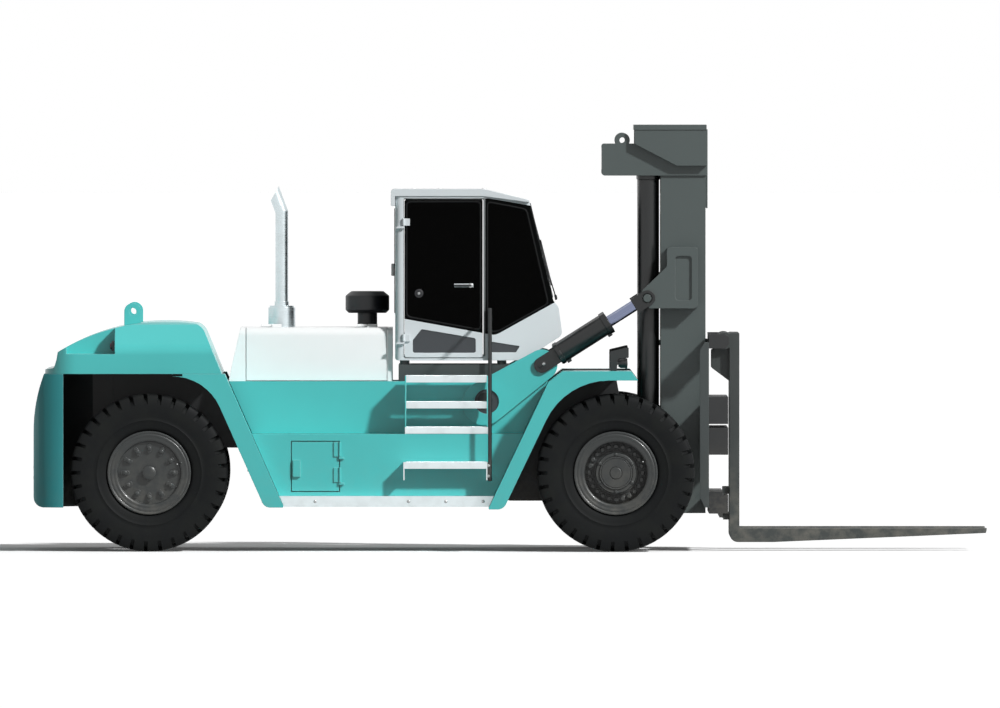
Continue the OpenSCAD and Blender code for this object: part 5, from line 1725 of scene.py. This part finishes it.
@dataclass
class Studio:
    """Floor, light, white background and the camera at the photograph's viewing angle.

    The sky's strength goes from dim at the rear to bright at the forks, between two places of X.
    """

    frame_width: float = 9.65
    lens: float = 1100
    sensor: float = 36
    elevation: float = 0.5
    centre: tuple[float, float, float] = (-0.103, -1.2, 1.904)
    clip: tuple[float, float] = (1, 3000)
    sky: float = 0.26
    sky_x: tuple[float, float] = (-0.4, 0.6)
    dim: float = 0.3
    bright: float = 1.6
    sun: float = 3.4
    sun_angle: float = 4
    sun_way: tuple[float, float, float] = (-1, 1, -1)
    floor_lift: float = 0.05
    floor_tone: float = 1.15
    floor_bounce: float = 0.2
    floor_size: float = 2000

    def build(self) -> None:
        """Makes the studio."""
        bpy.context.scene.view_settings.view_transform = "Standard"
        self.world()
        self.floor()
        self.lights()
        self.camera()

    def seen(self, tree: bpy.types.NodeTree) -> bpy.types.NodeSocket:
        """1 for rays that show the background: from the camera, in a reflection or through glass.

        Args:
            tree: The tree that asks.

        Returns:
            The output that holds the answer.
        """
        path = add_node(tree, "ShaderNodeLightPath")
        pair = add_node(
            tree,
            "ShaderNodeMath",
            {"operation": "MAXIMUM"},
            {0: path.outputs["Is Camera Ray"], 1: path.outputs["Is Glossy Ray"]},
        )
        every = add_node(
            tree,
            "ShaderNodeMath",
            {"operation": "MAXIMUM"},
            {0: pair.outputs[0], 1: path.outputs["Is Transmission Ray"]},
        )
        return every.outputs[0]

    def world(self) -> None:
        """A sky that lights softly, most from the forks' side, and shows white."""
        world = bpy.data.worlds.new("studio_white")
        world.use_nodes = True
        tree = world.node_tree
        tree.nodes.clear()
        way = add_node(tree, "ShaderNodeTexCoord").outputs["Generated"]
        ahead = add_node(tree, "ShaderNodeSeparateXYZ", links={0: way}).outputs["X"]
        rear, front = self.sky_x
        dim, bright = self.sky * self.dim, self.sky * self.bright
        ramp = {"interpolation_type": "SMOOTHSTEP", 1: rear, 2: front, 3: dim, 4: bright}
        sky = add_node(tree, "ShaderNodeMapRange", ramp, {0: ahead})
        strength = add_node(
            tree, "ShaderNodeMapRange", {1: 0.0, 2: 1.0, 4: 1.0}, {0: self.seen(tree), 3: sky.outputs[0]}
        )
        light = add_node(
            tree, "ShaderNodeBackground", {"Color": (1, 1, 1, 1)}, {"Strength": strength.outputs[0]}
        )
        add_node(tree, "ShaderNodeOutputWorld", links={"Surface": light.outputs[0]})
        bpy.context.scene.world = world

    def floor(self) -> None:
        """A pale floor that shows white but keeps the truck's shadow."""
        material = bpy.data.materials.new("pale_floor")
        material.use_nodes = True
        tree = material.node_tree
        tree.nodes.clear()
        seen = self.seen(tree)
        bounce, shown = ((level,) * 3 + (1.0,) for level in (self.floor_bounce, self.floor_tone))
        tone = add_node(tree, "ShaderNodeMix", {"data_type": "RGBA", 6: bounce, 7: shown}, {0: seen})
        matt = add_node(tree, "ShaderNodeBsdfDiffuse", links={"Color": tone.outputs[2]})
        lift = add_node(tree, "ShaderNodeMath", {"operation": "MULTIPLY", 1: self.floor_lift}, {0: seen})
        glow = add_node(tree, "ShaderNodeEmission", {"Color": (1, 1, 1, 1)}, {"Strength": lift.outputs[0]})
        total = add_node(tree, "ShaderNodeAddShader", links={0: matt.outputs[0], 1: glow.outputs[0]})
        add_node(tree, "ShaderNodeOutputMaterial", links={"Surface": total.outputs[0]})
        half = self.floor_size / 2
        corners = [(-half, -half, 0), (half, -half, 0), (half, half, 0), (-half, half, 0)]
        mesh = bpy.data.meshes.new("studio_floor")
        mesh.from_pydata(corners, [], [(0, 1, 2, 3)])
        mesh.materials.append(material)
        floor = bpy.data.objects.new("studio_floor", mesh)
        bpy.context.scene.collection.objects.link(floor)

    def lights(self) -> None:
        """One soft key from above the forks."""
        lamp = bpy.data.lights.new("soft_key", "SUN")
        lamp.energy = self.sun
        lamp.angle = math.radians(self.sun_angle)
        key = bpy.data.objects.new("soft_key", lamp)
        key.rotation_euler = Vector(self.sun_way).to_track_quat("-Z", "Y").to_euler()
        bpy.context.scene.collection.objects.link(key)

    def camera(self) -> None:
        """A long lens level with the truck's side, as the flat photograph needs."""
        data = bpy.data.cameras.new("photo_camera")
        data.lens = self.lens
        data.sensor_width = self.sensor
        distance = self.frame_width * self.lens / self.sensor
        angle = math.radians(self.elevation)
        back = Vector((0, -math.cos(angle), math.sin(angle)))
        camera = bpy.data.objects.new("photo_camera", data)
        camera.location = Vector(self.centre) + back * distance
        camera.rotation_euler = (-back).to_track_quat("-Z", "Y").to_euler()
        data.clip_start, data.clip_end = self.clip
        bpy.context.scene.collection.objects.link(camera)
        bpy.context.scene.camera = camera


def main() -> None:
    """Builds the truck's dress piece by piece."""
    logging.basicConfig(level=logging.INFO, format="%(name)s: %(message)s")
    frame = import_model()
    finishes = Finishes()
    Studio().build()
    Bodywork(finishes, frame["nodes"]).dress()
    Wheels(finishes).build()
    LiftChains(finishes).build()
    CabFittings(finishes).build()
    Hardware(finishes).build()


if __name__ == "__main__":
    main()
